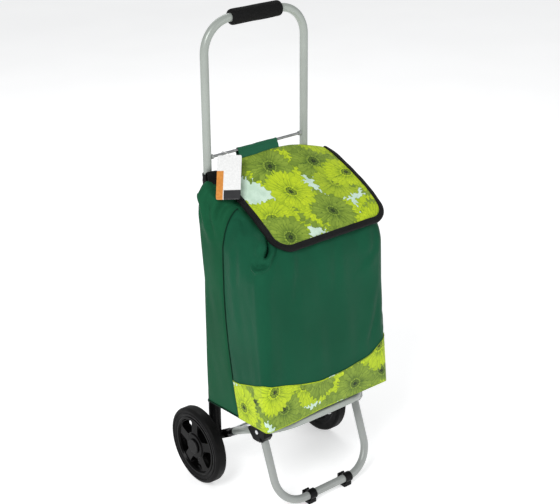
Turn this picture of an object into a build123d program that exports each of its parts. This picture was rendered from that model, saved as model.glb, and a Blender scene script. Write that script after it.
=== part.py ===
from build123d import *
import os
from math import sin, cos, tan, radians, degrees, atan2, hypot

os.makedirs("parts", exist_ok=True)

# ---------------------------------------------------------------- driving dimensions (mm)
# Row frame: +Z up, the bag faces -Y, the wheels are at the rear (+Y), origin on the ground
# under the middle of the trolley's box.
# Heights are drawn from a datum 3.5 above the ground; save() sets each part on the ground.
datum = 3.5
wheel_r = 81.5            # two plastic wheels
wheel_x = 159.8           # wheel middle plane
front_reach = 225.5       # axle to the foremost point of the foot clips
y0 = (front_reach - wheel_r) / 2      # the axle line
z0 = wheel_r - datum                  # the axle height

tube_r, tube_t = 8.0, 1.2             # 16 mm steel tube
leg_x = 117.25
lean = 1.15                           # legs lean a little forward
handle_s = 871.7                      # axle to grip axis, along the legs
bend_r = 60.0
grip_r, grip_len = 15.0, 114.0
rod_r, rod_s = 2.75, 614.0            # bag rod between the legs
axle_r = 4.0

shift_x = 2.0                         # platform and foot stand a touch to the right
arm_x = 97.5                          # arm eyes on the axle
side_x = 118.0                        # platform tube and foot legs, half spacing
bar_y, bar_z = -207.0, 187.5          # platform front bar, from the axle in y
knee_y, knee_z = -118.0, 149.8        # bend of the platform tube
foot_y, foot_z = -213.0, 13.5         # foot cross tube
pivot_y, pivot_z = -164.1, 150.6      # foot pivot in the brackets
clip_x = (-38.0, 56.0)                   # two clips on the foot
fit = 0.05                            # running fit, radial

sl, cl = sin(radians(lean)), cos(radians(lean))


def leg_pt(x, s, off=0.0):
    """A point on the leaning frame: s up the legs from the axle, off towards the bag."""
    return Vector(x, y0 - s * sl - off * cl, z0 + s * cl - off * sl)


frame_plane = Plane(origin=(0, y0, z0), x_dir=(1, 0, 0), z_dir=(0, -cl, -sl))


def save(p, name):
    placed = Pos(0, 0, datum) * p.part
    placed.label = name
    export_step(placed, f"parts/{name}.step")


def yz(x):
    """Sketch plane across X at x: local x is -Y (forward), local y is +Z."""
    return Plane(origin=(x, y0, 0), x_dir=(0, -1, 0), z_dir=(-1, 0, 0))


# ---------------------------------------------------------------- handle frame
with BuildPart() as handle_frame:
    with BuildLine(frame_plane) as handle_line:
        FilletPolyline(
            (-leg_x, 14), (-leg_x, handle_s), (leg_x, handle_s), (leg_x, 14),
            radius=bend_r,
        )
    with BuildSketch(Plane(handle_line.line @ 0, x_dir=(1, 0, 0), z_dir=handle_line.line % 0)):
        Circle(tube_r)
        Circle(tube_r - tube_t, mode=Mode.SUBTRACT)
    sweep(path=handle_line.line)
    # holes in the inner walls for the bag rod, and cross holes for the rivets of the leg sockets
    for s, r, reach in ((rod_s, rod_r + fit, 0), (92.0, 2.05, 40)):
        with Locations(Location(leg_pt(0, s), (0, 90, 0))):
            Cylinder(r, 2 * leg_x + reach, mode=Mode.SUBTRACT)
save(handle_frame, "handle_frame")

with BuildPart() as handle_grip:
    with Locations(Location(leg_pt(0, handle_s), (0, 90, 0))):
        Cylinder(grip_r, grip_len)
        Cylinder(tube_r + 0.02, grip_len + 2, mode=Mode.SUBTRACT)
    fillet(handle_grip.edges().filter_by(GeomType.CIRCLE).filter_by(lambda e: e.radius > 12), 3.5)
save(handle_grip, "handle_grip")

# ---------------------------------------------------------------- bag rod, its grommets
with BuildPart() as bag_rod:
    with Locations(Location(leg_pt(0, rod_s), (0, 90, 0))):
        Cylinder(rod_r, 2 * leg_x + 8)
    chamfer(bag_rod.edges().filter_by(GeomType.CIRCLE), 0.5)
save(bag_rod, "bag_rod")

for sx, tag in ((-1, "left"), (1, "right")):
    with BuildPart() as rod_grommet:
        with Locations(Location(leg_pt(sx * 106.6, rod_s), (0, 90, 0))):
            Cylinder(4.6, 4.8)
            Cylinder(rod_r + 0.02, 6, mode=Mode.SUBTRACT)
        with Locations(Location(leg_pt(sx * leg_x, rod_s - 20), (lean, 0, 0))):
            Cylinder(tube_r + 0.1, 60, align=(Align.CENTER, Align.CENTER, Align.MIN), mode=Mode.SUBTRACT)
    save(rod_grommet, f"rod_grommet_{tag}")

# ---------------------------------------------------------------- leg sockets and their rivets
for sx, tag in ((-1, "left"), (1, "right")):
    with BuildPart() as leg_socket:
        with BuildSketch(Plane(leg_pt(sx * leg_x, -15), x_dir=(1, 0, 0), z_dir=(0, -sl, cl))):
            Circle(12.5)
        extrude(amount=132)
        fillet(leg_socket.edges().filter_by(GeomType.CIRCLE), 2.2)
        # boss that keeps the wheel off the post, and a smaller one for the platform arm
        with Locations(Location((sx * (leg_x + 7), y0, z0), (0, 90, 0))):
            Cylinder(9.5, 13.6)
        with Locations(Location((sx * (leg_x - 8.4), y0, z0), (0, 90, 0))):
            Cylinder(8.5, 16.8)
        with BuildSketch(Plane(leg_pt(sx * leg_x, 13.5), x_dir=(1, 0, 0), z_dir=(0, -sl, cl))):
            Circle(tube_r + 0.03)
        extrude(amount=140, mode=Mode.SUBTRACT)
        with Locations(Location((sx * leg_x, y0, z0), (0, 90, 0))):
            Cylinder(axle_r + 0.02, 80, mode=Mode.SUBTRACT)
        with Locations(Location(leg_pt(sx * leg_x, 92), (0, 90, 0))):
            Cylinder(2.05, 60, mode=Mode.SUBTRACT)
    save(leg_socket, f"leg_socket_{tag}")

    with BuildPart() as socket_rivet:
        with Locations(Location(leg_pt(sx * leg_x, 92), (0, 90, 0))):
            Cylinder(2.0, 27)
        for off in (-1, 1):
            with Locations(Location(leg_pt(sx * leg_x + off * 13.6, 92), (0, 90, 0))):
                Cylinder(4.0, 1.6)
    save(socket_rivet, f"socket_rivet_{tag}")

# ---------------------------------------------------------------- axle and what is on it
with BuildPart() as axle:
    with Locations(Location((0, y0, z0), (0, 90, 0))):
        Cylinder(axle_r, 2 * 171.0)
    chamfer(axle.edges().filter_by(GeomType.CIRCLE), 0.6)
save(axle, "axle")

for sx, tag in ((-1, "left"), (1, "right")):
    with BuildPart() as axle_collar:
        with Locations(Location((sx * 93.0, y0, z0), (0, 90, 0))):
            Cylinder(7.5, 3.2)
            Cylinder(axle_r + 0.02, 8, mode=Mode.SUBTRACT)
    save(axle_collar, f"axle_collar_{tag}")

    with BuildPart() as wheel_washer:
        with Locations(Location((sx * 131.9, y0, z0), (0, 90, 0))):
            Cylinder(9.0, 1.2)
            Cylinder(axle_r + 0.02, 8, mode=Mode.SUBTRACT)
    save(wheel_washer, f"wheel_washer_{tag}")

    with BuildPart() as axle_cap:
        # shallow dome over the hub, with a socket that grips the axle's end
        with BuildSketch(Plane(origin=(sx * 172.6, y0, z0), x_dir=(0, 1, 0), z_dir=(sx, 0, 0))):
            Circle(16.0)
        extrude(amount=2.8)
        fillet(axle_cap.faces().sort_by(Axis.X)[-1 if sx > 0 else 0].edges(), 2.0)
        with BuildSketch(Plane(origin=(sx * 167.8, y0, z0), x_dir=(0, 1, 0), z_dir=(sx, 0, 0))):
            Circle(6.3)
        extrude(amount=5.0)
        with BuildSketch(Plane(origin=(sx * 167.0, y0, z0), x_dir=(0, 1, 0), z_dir=(sx, 0, 0))):
            Circle(axle_r + 0.02)
        extrude(amount=4.3, mode=Mode.SUBTRACT)
    save(axle_cap, f"axle_cap_{tag}")

# ---------------------------------------------------------------- wheels
for sx, tag in ((-1, "left"), (1, "right")):
    wx = sx * wheel_x
    spin = Axis((wx, y0, z0), (1, 0, 0))
    # profile plane: local x is the radius (up), local y is outwards
    prof = Plane(origin=(wx, y0, z0), x_dir=(0, 0, 1), z_dir=(0, sx, 0))

    with BuildPart() as tyre:
        with BuildSketch(prof):
            with BuildLine():
                Polyline(
                    (63.2, -10.6), (66.9, -12.1), (76.2, -12.5), (80.0, -10.7), (81.5, -7.4),
                    (81.5, 7.4), (80.0, 10.7), (76.2, 12.5), (73.6, 12.5), (73.0, 11.4),
                    (70.7, 11.4), (70.1, 12.5), (66.9, 12.1), (63.2, 10.6), (63.2, -10.6),
                )
            make_face()
        revolve(axis=spin)
    save(tyre, f"wheel_tyre_{tag}")

    with BuildPart() as rim:
        with BuildSketch(prof):
            with BuildLine():
                Polyline(
                    (7.0, -27.0), (12.5, -27.0), (14.5, -10.0), (24.0, -6.5), (52.2, -6.5), (54.8, -9.5),
                    (63.15, -10.2), (63.15, 11.3), (61.7, 12.0), (58.2, 12.0), (55.7, 8.4), (28.0, 9.6),
                    (25.0, 11.9), (7.0, 12.2), (7.0, -27.0),
                )
            make_face()
        revolve(axis=spin)
        # five deep pockets between broad spokes, each with a slot through its web
        out_plane = Plane(origin=(wx, y0, z0), x_dir=(0, sx, 0), z_dir=(sx, 0, 0))
        with BuildSketch(out_plane.offset(-2.8)) as pockets:
            Circle(55.0)
            Circle(29.0, mode=Mode.SUBTRACT)
            with PolarLocations(0, 5, start_angle=18):
                with Locations((43, 0)):
                    Rectangle(36, 19.0, mode=Mode.SUBTRACT)
            fillet(pockets.vertices(), 5.6)
        extrude(amount=30, mode=Mode.SUBTRACT)
        with BuildSketch(out_plane.offset(-30)) as slots:
            Circle(52.3)
            Circle(39.0, mode=Mode.SUBTRACT)
            with PolarLocations(0, 5, start_angle=18):
                with Locations((43, 0)):
                    Rectangle(36, 31.0, mode=Mode.SUBTRACT)
            fillet(slots.vertices(), 3.0)
        extrude(amount=60, mode=Mode.SUBTRACT)
    save(rim, f"wheel_rim_{tag}")

    with BuildPart() as bush:
        with Locations(Location((sx * (wheel_x - 9.9), y0, z0), (0, 90, 0))):
            Cylinder(6.98, 34.2)
            Cylinder(axle_r + fit, 60, mode=Mode.SUBTRACT)
    save(bush, f"wheel_bush_{tag}")

# ---------------------------------------------------------------- platform tube
d_arm = Vector(0, knee_y, knee_z - z0).normalized()      # from the axle up the arm
arm_a = 50.0                                             # where the tube starts on its end fitting
p_l, p_r = -side_x + shift_x, side_x + shift_x


def arm_pt(x, s):
    return Vector(x, y0, z0) + d_arm * s


with BuildPart() as platform_tube:
    with BuildLine() as platform_line:
        FilletPolyline(
            arm_pt(-arm_x, arm_a), arm_pt(-arm_x, arm_a + 14),
            Vector(p_l, y0 + knee_y, knee_z), Vector(p_l, y0 + bar_y, bar_z),
            Vector(p_r, y0 + bar_y, bar_z), Vector(p_r, y0 + knee_y, knee_z),
            arm_pt(arm_x, arm_a + 14), arm_pt(arm_x, arm_a),
            radius=[60, 80, bend_r, bend_r, 80, 60],
        )
    with BuildSketch(Plane(platform_line.line @ 0, x_dir=(1, 0, 0), z_dir=platform_line.line % 0)):
        Circle(tube_r)
        Circle(tube_r - tube_t, mode=Mode.SUBTRACT)
    sweep(path=platform_line.line)
    # rivet holes for the two brackets and for the base rivet
    with Locations(Location((0, y0 - 156.0, 165.9), (0, 90, 0))):
        Cylinder(2.05, 300, mode=Mode.SUBTRACT)
    with Locations((15.0, y0 + bar_y, bar_z)):
        Cylinder(2.05, 40, mode=Mode.SUBTRACT)
save(platform_tube, "platform_tube")

# the room that the bent tube takes in the two brackets
with BuildPart() as platform_room:
    with BuildSketch(Plane(platform_line.line @ 0, x_dir=(1, 0, 0), z_dir=platform_line.line % 0)):
        Circle(tube_r + 0.05)
    sweep(path=platform_line.line)

for sx, tag in ((-1, "left"), (1, "right")):
    ax = sx * arm_x
    arm_plane = Plane(origin=(ax, y0, z0), x_dir=tuple(d_arm), z_dir=(-1, 0, 0))
    with BuildPart() as arm_end:
        # flat eye on the axle
        with BuildSketch(arm_plane.offset(-2.5)):
            with BuildLine():
                Line((0, 9.0), (30, 9.0))
                Line((30, 9.0), (30, -9.0))
                Line((30, -9.0), (0, -9.0))
                ThreePointArc((0, -9.0), (-9.0, 0), (0, 9.0))
            make_face()
        extrude(amount=5.0)
        # taper from the flat eye to the round collar
        with BuildSketch(Plane(origin=arm_pt(ax, 18), x_dir=(1, 0, 0), z_dir=tuple(d_arm))):
            RectangleRounded(5.0, 18.0, 1.5)
        with BuildSketch(Plane(origin=arm_pt(ax, 37), x_dir=(1, 0, 0), z_dir=tuple(d_arm))):
            Circle(8.4)
        loft()
        with BuildSketch(Plane(origin=arm_pt(ax, 37), x_dir=(1, 0, 0), z_dir=tuple(d_arm))):
            Circle(8.4)
        extrude(amount=arm_a - 0.1 - 37)
        with BuildSketch(Plane(origin=arm_pt(ax, arm_a - 1), x_dir=(1, 0, 0), z_dir=tuple(d_arm))):
            Circle(tube_r - tube_t - 0.05)
        extrude(amount=6.5)
        with Locations(Location((ax, y0, z0), (0, 90, 0))):
            Cylinder(axle_r + fit, 30, mode=Mode.SUBTRACT)
    save(arm_end, f"arm_end_{tag}")

# ---------------------------------------------------------------- foot brackets on the platform tube
d_leg = Vector(0, foot_y - pivot_y, foot_z - pivot_z).normalized()   # down the foot leg
leg_len = hypot(foot_y - pivot_y, foot_z - pivot_z)
fold_dir = Vector(0, cos(radians(30)), -sin(radians(30)))            # foot leg when folded back


def fz(y, z):
    """A side-view point (y from the axle, z) in the yz() sketch plane."""
    return (-y, z)


for px, tag in ((p_l, "left"), (p_r, "right")):
    with BuildPart() as bracket:
        with BuildSketch(yz(px + 10.4)):
            with BuildLine():
                Polyline(fz(-122.5, 164.0), fz(-141.5, 143.0), fz(-154.0, 143.2), fz(-171.0, 147.8), fz(-178.5, 160.5), fz(-176.5, 185.6), fz(-122.5, 164.0))
            make_face()
        extrude(amount=20.8)
        fillet(bracket.edges().filter_by(Axis.X), 4.0)
        fillet(bracket.faces().sort_by(Axis.X)[0].edges() + bracket.faces().sort_by(Axis.X)[-1].edges(), 1.2)
        # bore for the platform tube
        add(platform_room.part, mode=Mode.SUBTRACT)
        # slot that the foot leg swings in, open below and behind
        with BuildSketch(yz(px + 8.4)):
            with Locations(fz(pivot_y, pivot_z)):
                Circle(8.35)
            with BuildLine():
                nf = Vector(0, d_leg.Z, -d_leg.Y)        # forward normal of the leg
                a = Vector(0, pivot_y, pivot_z) + nf * 8.35
                b = a + d_leg * 45
                nu = Vector(0, -fold_dir.Z, fold_dir.Y)  # upper normal of the folded leg
                e = Vector(0, pivot_y, pivot_z) + nu * 8.35
                f = e + fold_dir * 60
                Polyline(fz(a.Y, a.Z), fz(b.Y, b.Z), fz(f.Y, b.Z), fz(f.Y, f.Z), fz(e.Y, e.Z), fz(a.Y, a.Z))
            make_face()
        extrude(amount=16.8, mode=Mode.SUBTRACT)
        with Locations(Location((px, y0 - 156.0, 165.9), (0, 90, 0))):
            Cylinder(2.05, 40, mode=Mode.SUBTRACT)
        with Locations(Location((px, y0 + pivot_y, pivot_z), (0, 90, 0))):
            Cylinder(2.5 + 0.02, 40, mode=Mode.SUBTRACT)
    save(bracket, f"foot_bracket_{tag}")

    with BuildPart() as bracket_rivet:
        with Locations(Location((px, y0 - 156.0, 165.9), (0, 90, 0))):
            Cylinder(2.0, 23.2)
        for off in (-1, 1):
            with BuildSketch(Plane(origin=(px + off * 10.5, y0 - 156.0, 165.9), x_dir=(0, 1, 0), z_dir=(off, 0, 0))):
                Circle(4.4)
            extrude(amount=1.8)
    save(bracket_rivet, f"bracket_rivet_{tag}")

    with BuildPart() as foot_pin:
        with Locations(Location((px, y0 + pivot_y, pivot_z), (0, 90, 0))):
            Cylinder(2.5, 23.2)
        for off in (-1, 1):
            with BuildSketch(Plane(origin=(px + off * 10.5, y0 + pivot_y, pivot_z), x_dir=(0, 1, 0), z_dir=(off, 0, 0))):
                Circle(4.0)
            extrude(amount=1.5)
    save(foot_pin, f"foot_pin_{tag}")

with BuildPart() as base_rivet:
    with Locations((15.0, y0 + bar_y, bar_z - 1.3)):
        Cylinder(2.0, 18.2)
    with Locations((15.0, y0 + bar_y, bar_z - 9.3)):
        Cylinder(3.6, 2.2)
save(base_rivet, "base_rivet")

# ---------------------------------------------------------------- folding foot
with BuildPart() as foot_tube:
    pv_l, pv_r = Vector(p_l, y0 + pivot_y, pivot_z), Vector(p_r, y0 + pivot_y, pivot_z)
    with BuildLine() as foot_line:
        FilletPolyline(
            pv_l + d_leg * 9.5, Vector(p_l, y0 + foot_y, foot_z),
            Vector(p_r, y0 + foot_y, foot_z), pv_r + d_leg * 9.5,
            radius=bend_r,
        )
    with BuildSketch(Plane(foot_line.line @ 0, x_dir=(1, 0, 0), z_dir=foot_line.line % 0)):
        Circle(tube_r)
        Circle(tube_r - tube_t, mode=Mode.SUBTRACT)
    sweep(path=foot_line.line)
save(foot_tube, "foot_tube")

with BuildPart() as foot_room:
    with BuildSketch(Plane(foot_line.line @ 0, x_dir=(1, 0, 0), z_dir=foot_line.line % 0)):
        Circle(tube_r + 0.02)
    sweep(path=foot_line.line)

for px, tag in ((p_l, "left"), (p_r, "right")):
    pv = Vector(px, y0 + pivot_y, pivot_z)
    leg_down = Plane(origin=pv, x_dir=(1, 0, 0), z_dir=tuple(d_leg))
    with BuildPart() as foot_plug:
        with BuildSketch(leg_down.offset(-8)):
            Circle(7.9)
        extrude(amount=17.4)
        with BuildSketch(Plane(origin=pv, x_dir=(0, -1, 0), z_dir=(-1, 0, 0)).offset(-12)):
            Circle(7.9)
            with Locations((-d_leg.Y * 10, d_leg.Z * 10)):
                Circle(10.6)
        extrude(amount=24, mode=Mode.INTERSECT)
        with BuildSketch(leg_down.offset(8)):
            Circle(tube_r - tube_t - 0.05)
        extrude(amount=22)
        with Locations(Location(pv, (0, 90, 0))):
            Cylinder(2.5 + fit, 30, mode=Mode.SUBTRACT)
    save(foot_plug, f"foot_plug_{tag}")

for cx, tag in zip(clip_x, ("left", "right")):
    with BuildPart() as clip:
        with BuildSketch(yz(cx + 8.0)):
            with Locations(fz(foot_y, foot_z)):
                Circle(10.5)
            with BuildLine():
                # storage hook behind the ring
                Polyline(
                    fz(foot_y + 4, 0.0), fz(foot_y + 16.0, 1.5), fz(foot_y + 19.5, 5.0), fz(foot_y + 19.5, 16.0),
                    fz(foot_y + 16.0, 16.0), fz(foot_y + 15.0, 8.0), fz(foot_y + 9.0, 6.0), fz(foot_y + 4, 0.0),
                )
            make_face()
        extrude(amount=16)
        # flat pad that stands on the ground, with a toe towards the left
        with BuildSketch(Plane.XY.offset(-datum)):
            with Locations((cx - 1.75, y0 + foot_y + 0.5)):
                RectangleRounded(19.5, 15.0, 2.0)
        extrude(amount=datum + 4.6)
        add(foot_room.part, mode=Mode.SUBTRACT)
    save(clip, f"foot_clip_{tag}")

# ---------------------------------------------------------------- bag
# Slant of the flap and of the bag's top: hinge line at the rear, front edge lower.
hinge_y, hinge_z = -24.5, 657.0
lip_y, lip_z = -213.0, 551.5
slope = degrees(atan2(hinge_z - lip_z, hinge_y - lip_y))
flap_chord = hypot(hinge_z - lip_z, hinge_y - lip_y)
top_dir = Vector(0, lip_y - hinge_y, lip_z - hinge_z).normalized()       # down the slant
top_nrm = Vector(0, -top_dir.Z, top_dir.Y) * -1                           # up, off the bag
if top_nrm.Z < 0:
    top_nrm = top_nrm * -1
H = Vector(0, y0 + hinge_y, hinge_z)

bag_back_y = -27.5
wall = 2.0
gap_under_flap = 7.0
shoulder = 40.0           # depth of the gathered shoulder under the flap
base_slope = -1.85        # the floor rises a little towards the front
# plan sections, bottom to top: height at the back, slope (deg), left x at the back and at the
# front, right x, front y from the axle, front corner radius
top_z = hinge_z + (bag_back_y - hinge_y) * tan(radians(slope)) - gap_under_flap / cos(radians(slope))
sections = (
    (190.0, base_slope, -151.0, -144.8, 166.0, -213.8, 12.0),
    (300.0, 0.0, -150.0, -147.0, 164.0, -211.0, 17.0),
    (430.0, 0.0, -147.0, -145.5, 164.0, -207.5, 22.0),
    (top_z - shoulder, slope, -150.0, -142.0, 164.0, -203.5, 26.0),
    (top_z, slope, -112.0, -106.0, 146.0, -184.0, 26.0),
)


def bag_solid(inset):
    """The bag's closed form through its plan sections, inset by the wall."""
    with BuildPart() as b:
        for k, (z, tilt, xlr, xlf, xr, yf, r) in enumerate(sections):
            lift = inset if k == 0 else (-inset if k == len(sections) - 1 else 0.0)
            ct, st = cos(radians(tilt)), sin(radians(tilt))
            pl = Plane(origin=(0, y0 + bag_back_y, z + lift), x_dir=(1, 0, 0), z_dir=(0, -st, ct))
            with BuildSketch(pl) as sk:
                vf = (yf - bag_back_y) / ct + inset
                with BuildLine():
                    Polyline(
                        (xlr + inset, -inset), (xlf + inset, vf), (xr - inset, vf), (xr - inset, -inset),
                        (xlr + inset, -inset),
                    )
                make_face()
                fillet(sk.vertices().sort_by(Axis.Y)[:2], r - inset)
                fillet(sk.vertices().filter_by(lambda v: v.Y > -inset - 0.5 + 0 * ct), 5.0)
        loft(ruled=True)
    return b.part


bag_outer = bag_solid(0.0)
bag_inner = bag_solid(wall)

# mouth, in the slanted top
mouth_x, mouth_l = 236.0, 118.0
with BuildPart() as mouth_cut:
    with BuildSketch(Plane(origin=H - top_nrm * 40 + top_dir * 92 + Vector(9, 0, 0), x_dir=(1, 0, 0), z_dir=tuple(top_nrm))):
        RectangleRounded(mouth_x, mouth_l, 38)
    extrude(amount=60)

base_tilt = Plane(
    origin=(0, y0 + bag_back_y, 190.0), x_dir=(1, 0, 0),
    z_dir=(0, -sin(radians(base_slope)), cos(radians(base_slope))),
)
seam_y = y0 - 121.0
band_z = 268.0
big = 1200.0
collar_cut = Plane(origin=H - top_nrm * (gap_under_flap + shoulder * cos(radians(slope))), x_dir=(1, 0, 0), z_dir=tuple(top_nrm))

with BuildPart() as bag_shell:
    add(bag_outer)
    add(bag_inner, mode=Mode.SUBTRACT)
    add(mouth_cut.part, mode=Mode.SUBTRACT)

with BuildPart() as bag_collar:
    add(bag_shell.part)
    split(bisect_by=collar_cut, keep=Keep.TOP)
save(bag_collar, "bag_collar")

with BuildPart() as bag_body:
    add(bag_shell.part)
    split(bisect_by=collar_cut, keep=Keep.BOTTOM)

floor_cut = Plane(origin=base_tilt.origin + Vector(0, 0, wall + 0.01), x_dir=(1, 0, 0), z_dir=base_tilt.z_dir)
with BuildPart() as bag_bottom:
    add(bag_body.part)
    split(bisect_by=floor_cut, keep=Keep.BOTTOM)
save(bag_bottom, "bag_bottom")

with BuildPart() as bag_walls:
    add(bag_body.part)
    split(bisect_by=floor_cut, keep=Keep.TOP)

with BuildPart() as bag_back:
    add(bag_walls.part)
    split(bisect_by=Plane.XZ.offset(-(y0 + bag_back_y - 8.0)), keep=Keep.BOTTOM)
save(bag_back, "bag_back")

with BuildPart() as bag_sides:
    add(bag_walls.part)
    split(bisect_by=Plane.XZ.offset(-(y0 + bag_back_y - 8.0)), keep=Keep.TOP)
    split(bisect_by=Plane.XZ.offset(-seam_y), keep=Keep.BOTTOM)
with BuildPart() as bag_side_left:
    add(bag_sides.part)
    split(bisect_by=Plane.YZ, keep=Keep.BOTTOM)
save(bag_side_left, "bag_side_left")
with BuildPart() as bag_side_right:
    add(bag_sides.part)
    split(bisect_by=Plane.YZ, keep=Keep.TOP)
save(bag_side_right, "bag_side_right")

with BuildPart() as bag_front:
    add(bag_walls.part)
    split(bisect_by=Plane.XZ.offset(-seam_y), keep=Keep.TOP)
    split(bisect_by=Plane.XY.offset(band_z), keep=Keep.TOP)
save(bag_front, "bag_front")
with BuildPart() as bag_band:
    add(bag_walls.part)
    split(bisect_by=Plane.XZ.offset(-seam_y), keep=Keep.TOP)
    split(bisect_by=Plane.XY.offset(band_z), keep=Keep.BOTTOM)
save(bag_band, "bag_print_band")

with BuildPart() as base_board:
    with BuildSketch(Plane(origin=base_tilt.origin + Vector(8.5, 0, 0) + base_tilt.z_dir * (wall + 0.3), x_dir=(1, 0, 0), z_dir=base_tilt.z_dir)):
        with Locations((0, -93.0)):
            RectangleRounded(296, 172, 10)
    extrude(amount=3.0)
save(base_board, "base_board")

# ---------------------------------------------------------------- flap with its bound edge
flap_l, flap_r, flap_len, sag_h = -102.5, 175.5, flap_chord, 8.0
bow_r = flap_len ** 2 / (8 * sag_h) + sag_h / 2
flap_cx, flap_w = (flap_l + flap_r) / 2, flap_r - flap_l


def bowed_plate(thick, below):
    """A strip bowed up over the bag: thick through, its underside 'below' under the bow line."""
    with BuildPart() as p:
        pl = Plane(origin=H, x_dir=tuple(top_dir), z_dir=(1, 0, 0))
        up = 1 if pl.y_dir.dot(top_nrm) > 0 else -1
        with BuildSketch(pl.offset(flap_l - 20)):
            with BuildLine():
                def arc(h):
                    r = bow_r + h
                    c = (flap_len / 2, up * (sag_h - bow_r))
                    half = radians(8.75)
                    pts = []
                    for k in (-1, 0, 1):
                        t = half * k
                        pts.append((c[0] + r * sin(t), c[1] + up * r * cos(t)))
                    return pts
                lo, hi = arc(-below), arc(thick - below)
                ThreePointArc(*lo)
                Line(lo[2], hi[2])
                ThreePointArc(hi[2], hi[1], hi[0])
                Line(hi[0], lo[0])
            make_face()
        extrude(amount=flap_w + 40)
    return p.part


def flap_cutter(grow, rear):
    with BuildPart() as c:
        with BuildSketch(Plane(origin=H - top_nrm * 30 + Vector(flap_cx, 0, 0), x_dir=(1, 0, 0), z_dir=tuple(top_nrm))) as s:
            # local y runs up the slant, so the flap lies at negative y
            with Locations((0, -(flap_len + grow - rear) / 2 - rear)):
                Rectangle(flap_w + 2 * grow, flap_len + grow - rear)
            fillet(s.vertices().sort_by(Axis.Y)[:2], 44 + grow)
        extrude(amount=60)
    return c.part


with BuildPart() as flap:
    add(bowed_plate(3.0, 1.5))
    add(flap_cutter(-1.0, 1.0), mode=Mode.INTERSECT)
save(flap, "flap")

with BuildPart() as flap_binding:
    add(bowed_plate(4.8, 2.4))
    add(flap_cutter(0.0, 1.0), mode=Mode.INTERSECT)
    add(flap_cutter(-11.5, -40.0), mode=Mode.SUBTRACT)
    add(flap.part, mode=Mode.SUBTRACT)
save(flap_binding, "flap_binding")

# ---------------------------------------------------------------- cloth sleeve that hangs the bag on its rod
rod_c = leg_pt(0, rod_s)
with BuildPart() as rod_sleeve:
    with BuildSketch(Plane(origin=(-48, 0, 0), x_dir=(0, 1, 0), z_dir=(1, 0, 0))) as s:
        with Locations((rod_c.Y, rod_c.Z)):
            Circle(5.4)
        with BuildLine():
            Polyline(
                (rod_c.Y - 5.4, rod_c.Z - 0.5), (y0 - 22.0, 661.5), (y0 - 17.6, 660.0), (rod_c.Y + 5.2, rod_c.Z - 1.5),
                (rod_c.Y - 5.4, rod_c.Z - 0.5),
            )
        make_face()
        with Locations((rod_c.Y, rod_c.Z)):
            Circle(rod_r + 0.3, mode=Mode.SUBTRACT)
    extrude(amount=100)
save(rod_sleeve, "rod_sleeve")

# ---------------------------------------------------------------- webbing loops round the legs
for sx, tag in ((-1, "left"), (1, "right")):
    for s_mid, hgt, where, thick in ((569.0, 30.0, "upper", 2.2), (359.0, 14.0, "lower", 1.4)):
        c = leg_pt(sx * leg_x, s_mid - hgt / 2)
        with BuildPart() as loop:
            with BuildSketch(Plane(c, x_dir=(1, 0, 0), z_dir=(0, -sl, cl))):
                Circle(tube_r + 0.2 + thick)
                with Locations((0, -(abs(y0 + bag_back_y - c.Y)) / 2)):
                    Rectangle(9, abs(y0 + bag_back_y - c.Y) - 0.8)
                Circle(tube_r + 0.2, mode=Mode.SUBTRACT)
            extrude(amount=hgt)
            with Locations((0, y0 + bag_back_y - 0.1, 400)):
                Box(600, 40, 1200, align=(Align.CENTER, Align.MAX, Align.CENTER), mode=Mode.SUBTRACT)
            # the strap stays under the flap's rear edge
            with Locations((0, y0 - 20.0, 644.0)):
                Box(600, 40, 100, align=(Align.CENTER, Align.MAX, Align.MIN), mode=Mode.SUBTRACT)
        save(loop, f"{where}_loop_{tag}")

# ---------------------------------------------------------------- hang tag on the rod
rt = Vector(0.785, -0.619, 0.0).normalized()
t_mid = Vector(-79.0, y0 - 32.0, 694.0)
b_mid = Vector(-125.0, y0 - 85.0, 631.5)
dn = (b_mid - t_mid).normalized()
tn = rt.cross(dn).normalized()
if tn.Z < 0:
    tn = tn * -1
tag_w, tag_h = 46.0, (b_mid - t_mid).length
hole_in = 4.0
with BuildPart() as tag_card:
    with BuildSketch(Plane(origin=(t_mid + b_mid) * 0.5, x_dir=tuple(rt), z_dir=tuple(tn))):
        RectangleRounded(tag_w, tag_h, 2.0)
        with Locations((0, (tag_h / 2 - hole_in) * (1 if tn.cross(rt).dot(dn) < 0 else -1))):
            Circle(2.3, mode=Mode.SUBTRACT)
    extrude(amount=0.4, both=True)
save(tag_card, "tag_card")

hole = t_mid + dn * hole_in
with BuildPart() as tag_cord:
    # a small closed loop through the card's hole and round the rod
    rc = Vector(hole.X, rod_c.Y, rod_c.Z)
    lx = (hole - rc).normalized()
    rr = 5.0
    near = rc + lx * 1.2
    span = (hole - near).length - rr
    pl = Plane(origin=near, x_dir=tuple(lx), z_dir=(1, 0, 0))
    with BuildLine(pl) as cord_line:
        Line((0, rr), (span, rr))
        ThreePointArc((span, rr), (span + rr, 0), (span, -rr))
        Line((span, -rr), (0, -rr))
        ThreePointArc((0, -rr), (-rr, 0), (0, rr))
    with BuildSketch(Plane(cord_line.line @ 0, z_dir=cord_line.line % 0)):
        Circle(0.6)
    sweep(path=cord_line.line)
save(tag_cord, "tag_cord")

print("axle y0", y0, "tag height", tag_h, "leg_len", leg_len)
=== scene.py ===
import math

import bmesh
import bpy
import numpy as np
from mathutils import Matrix, Vector


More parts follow.
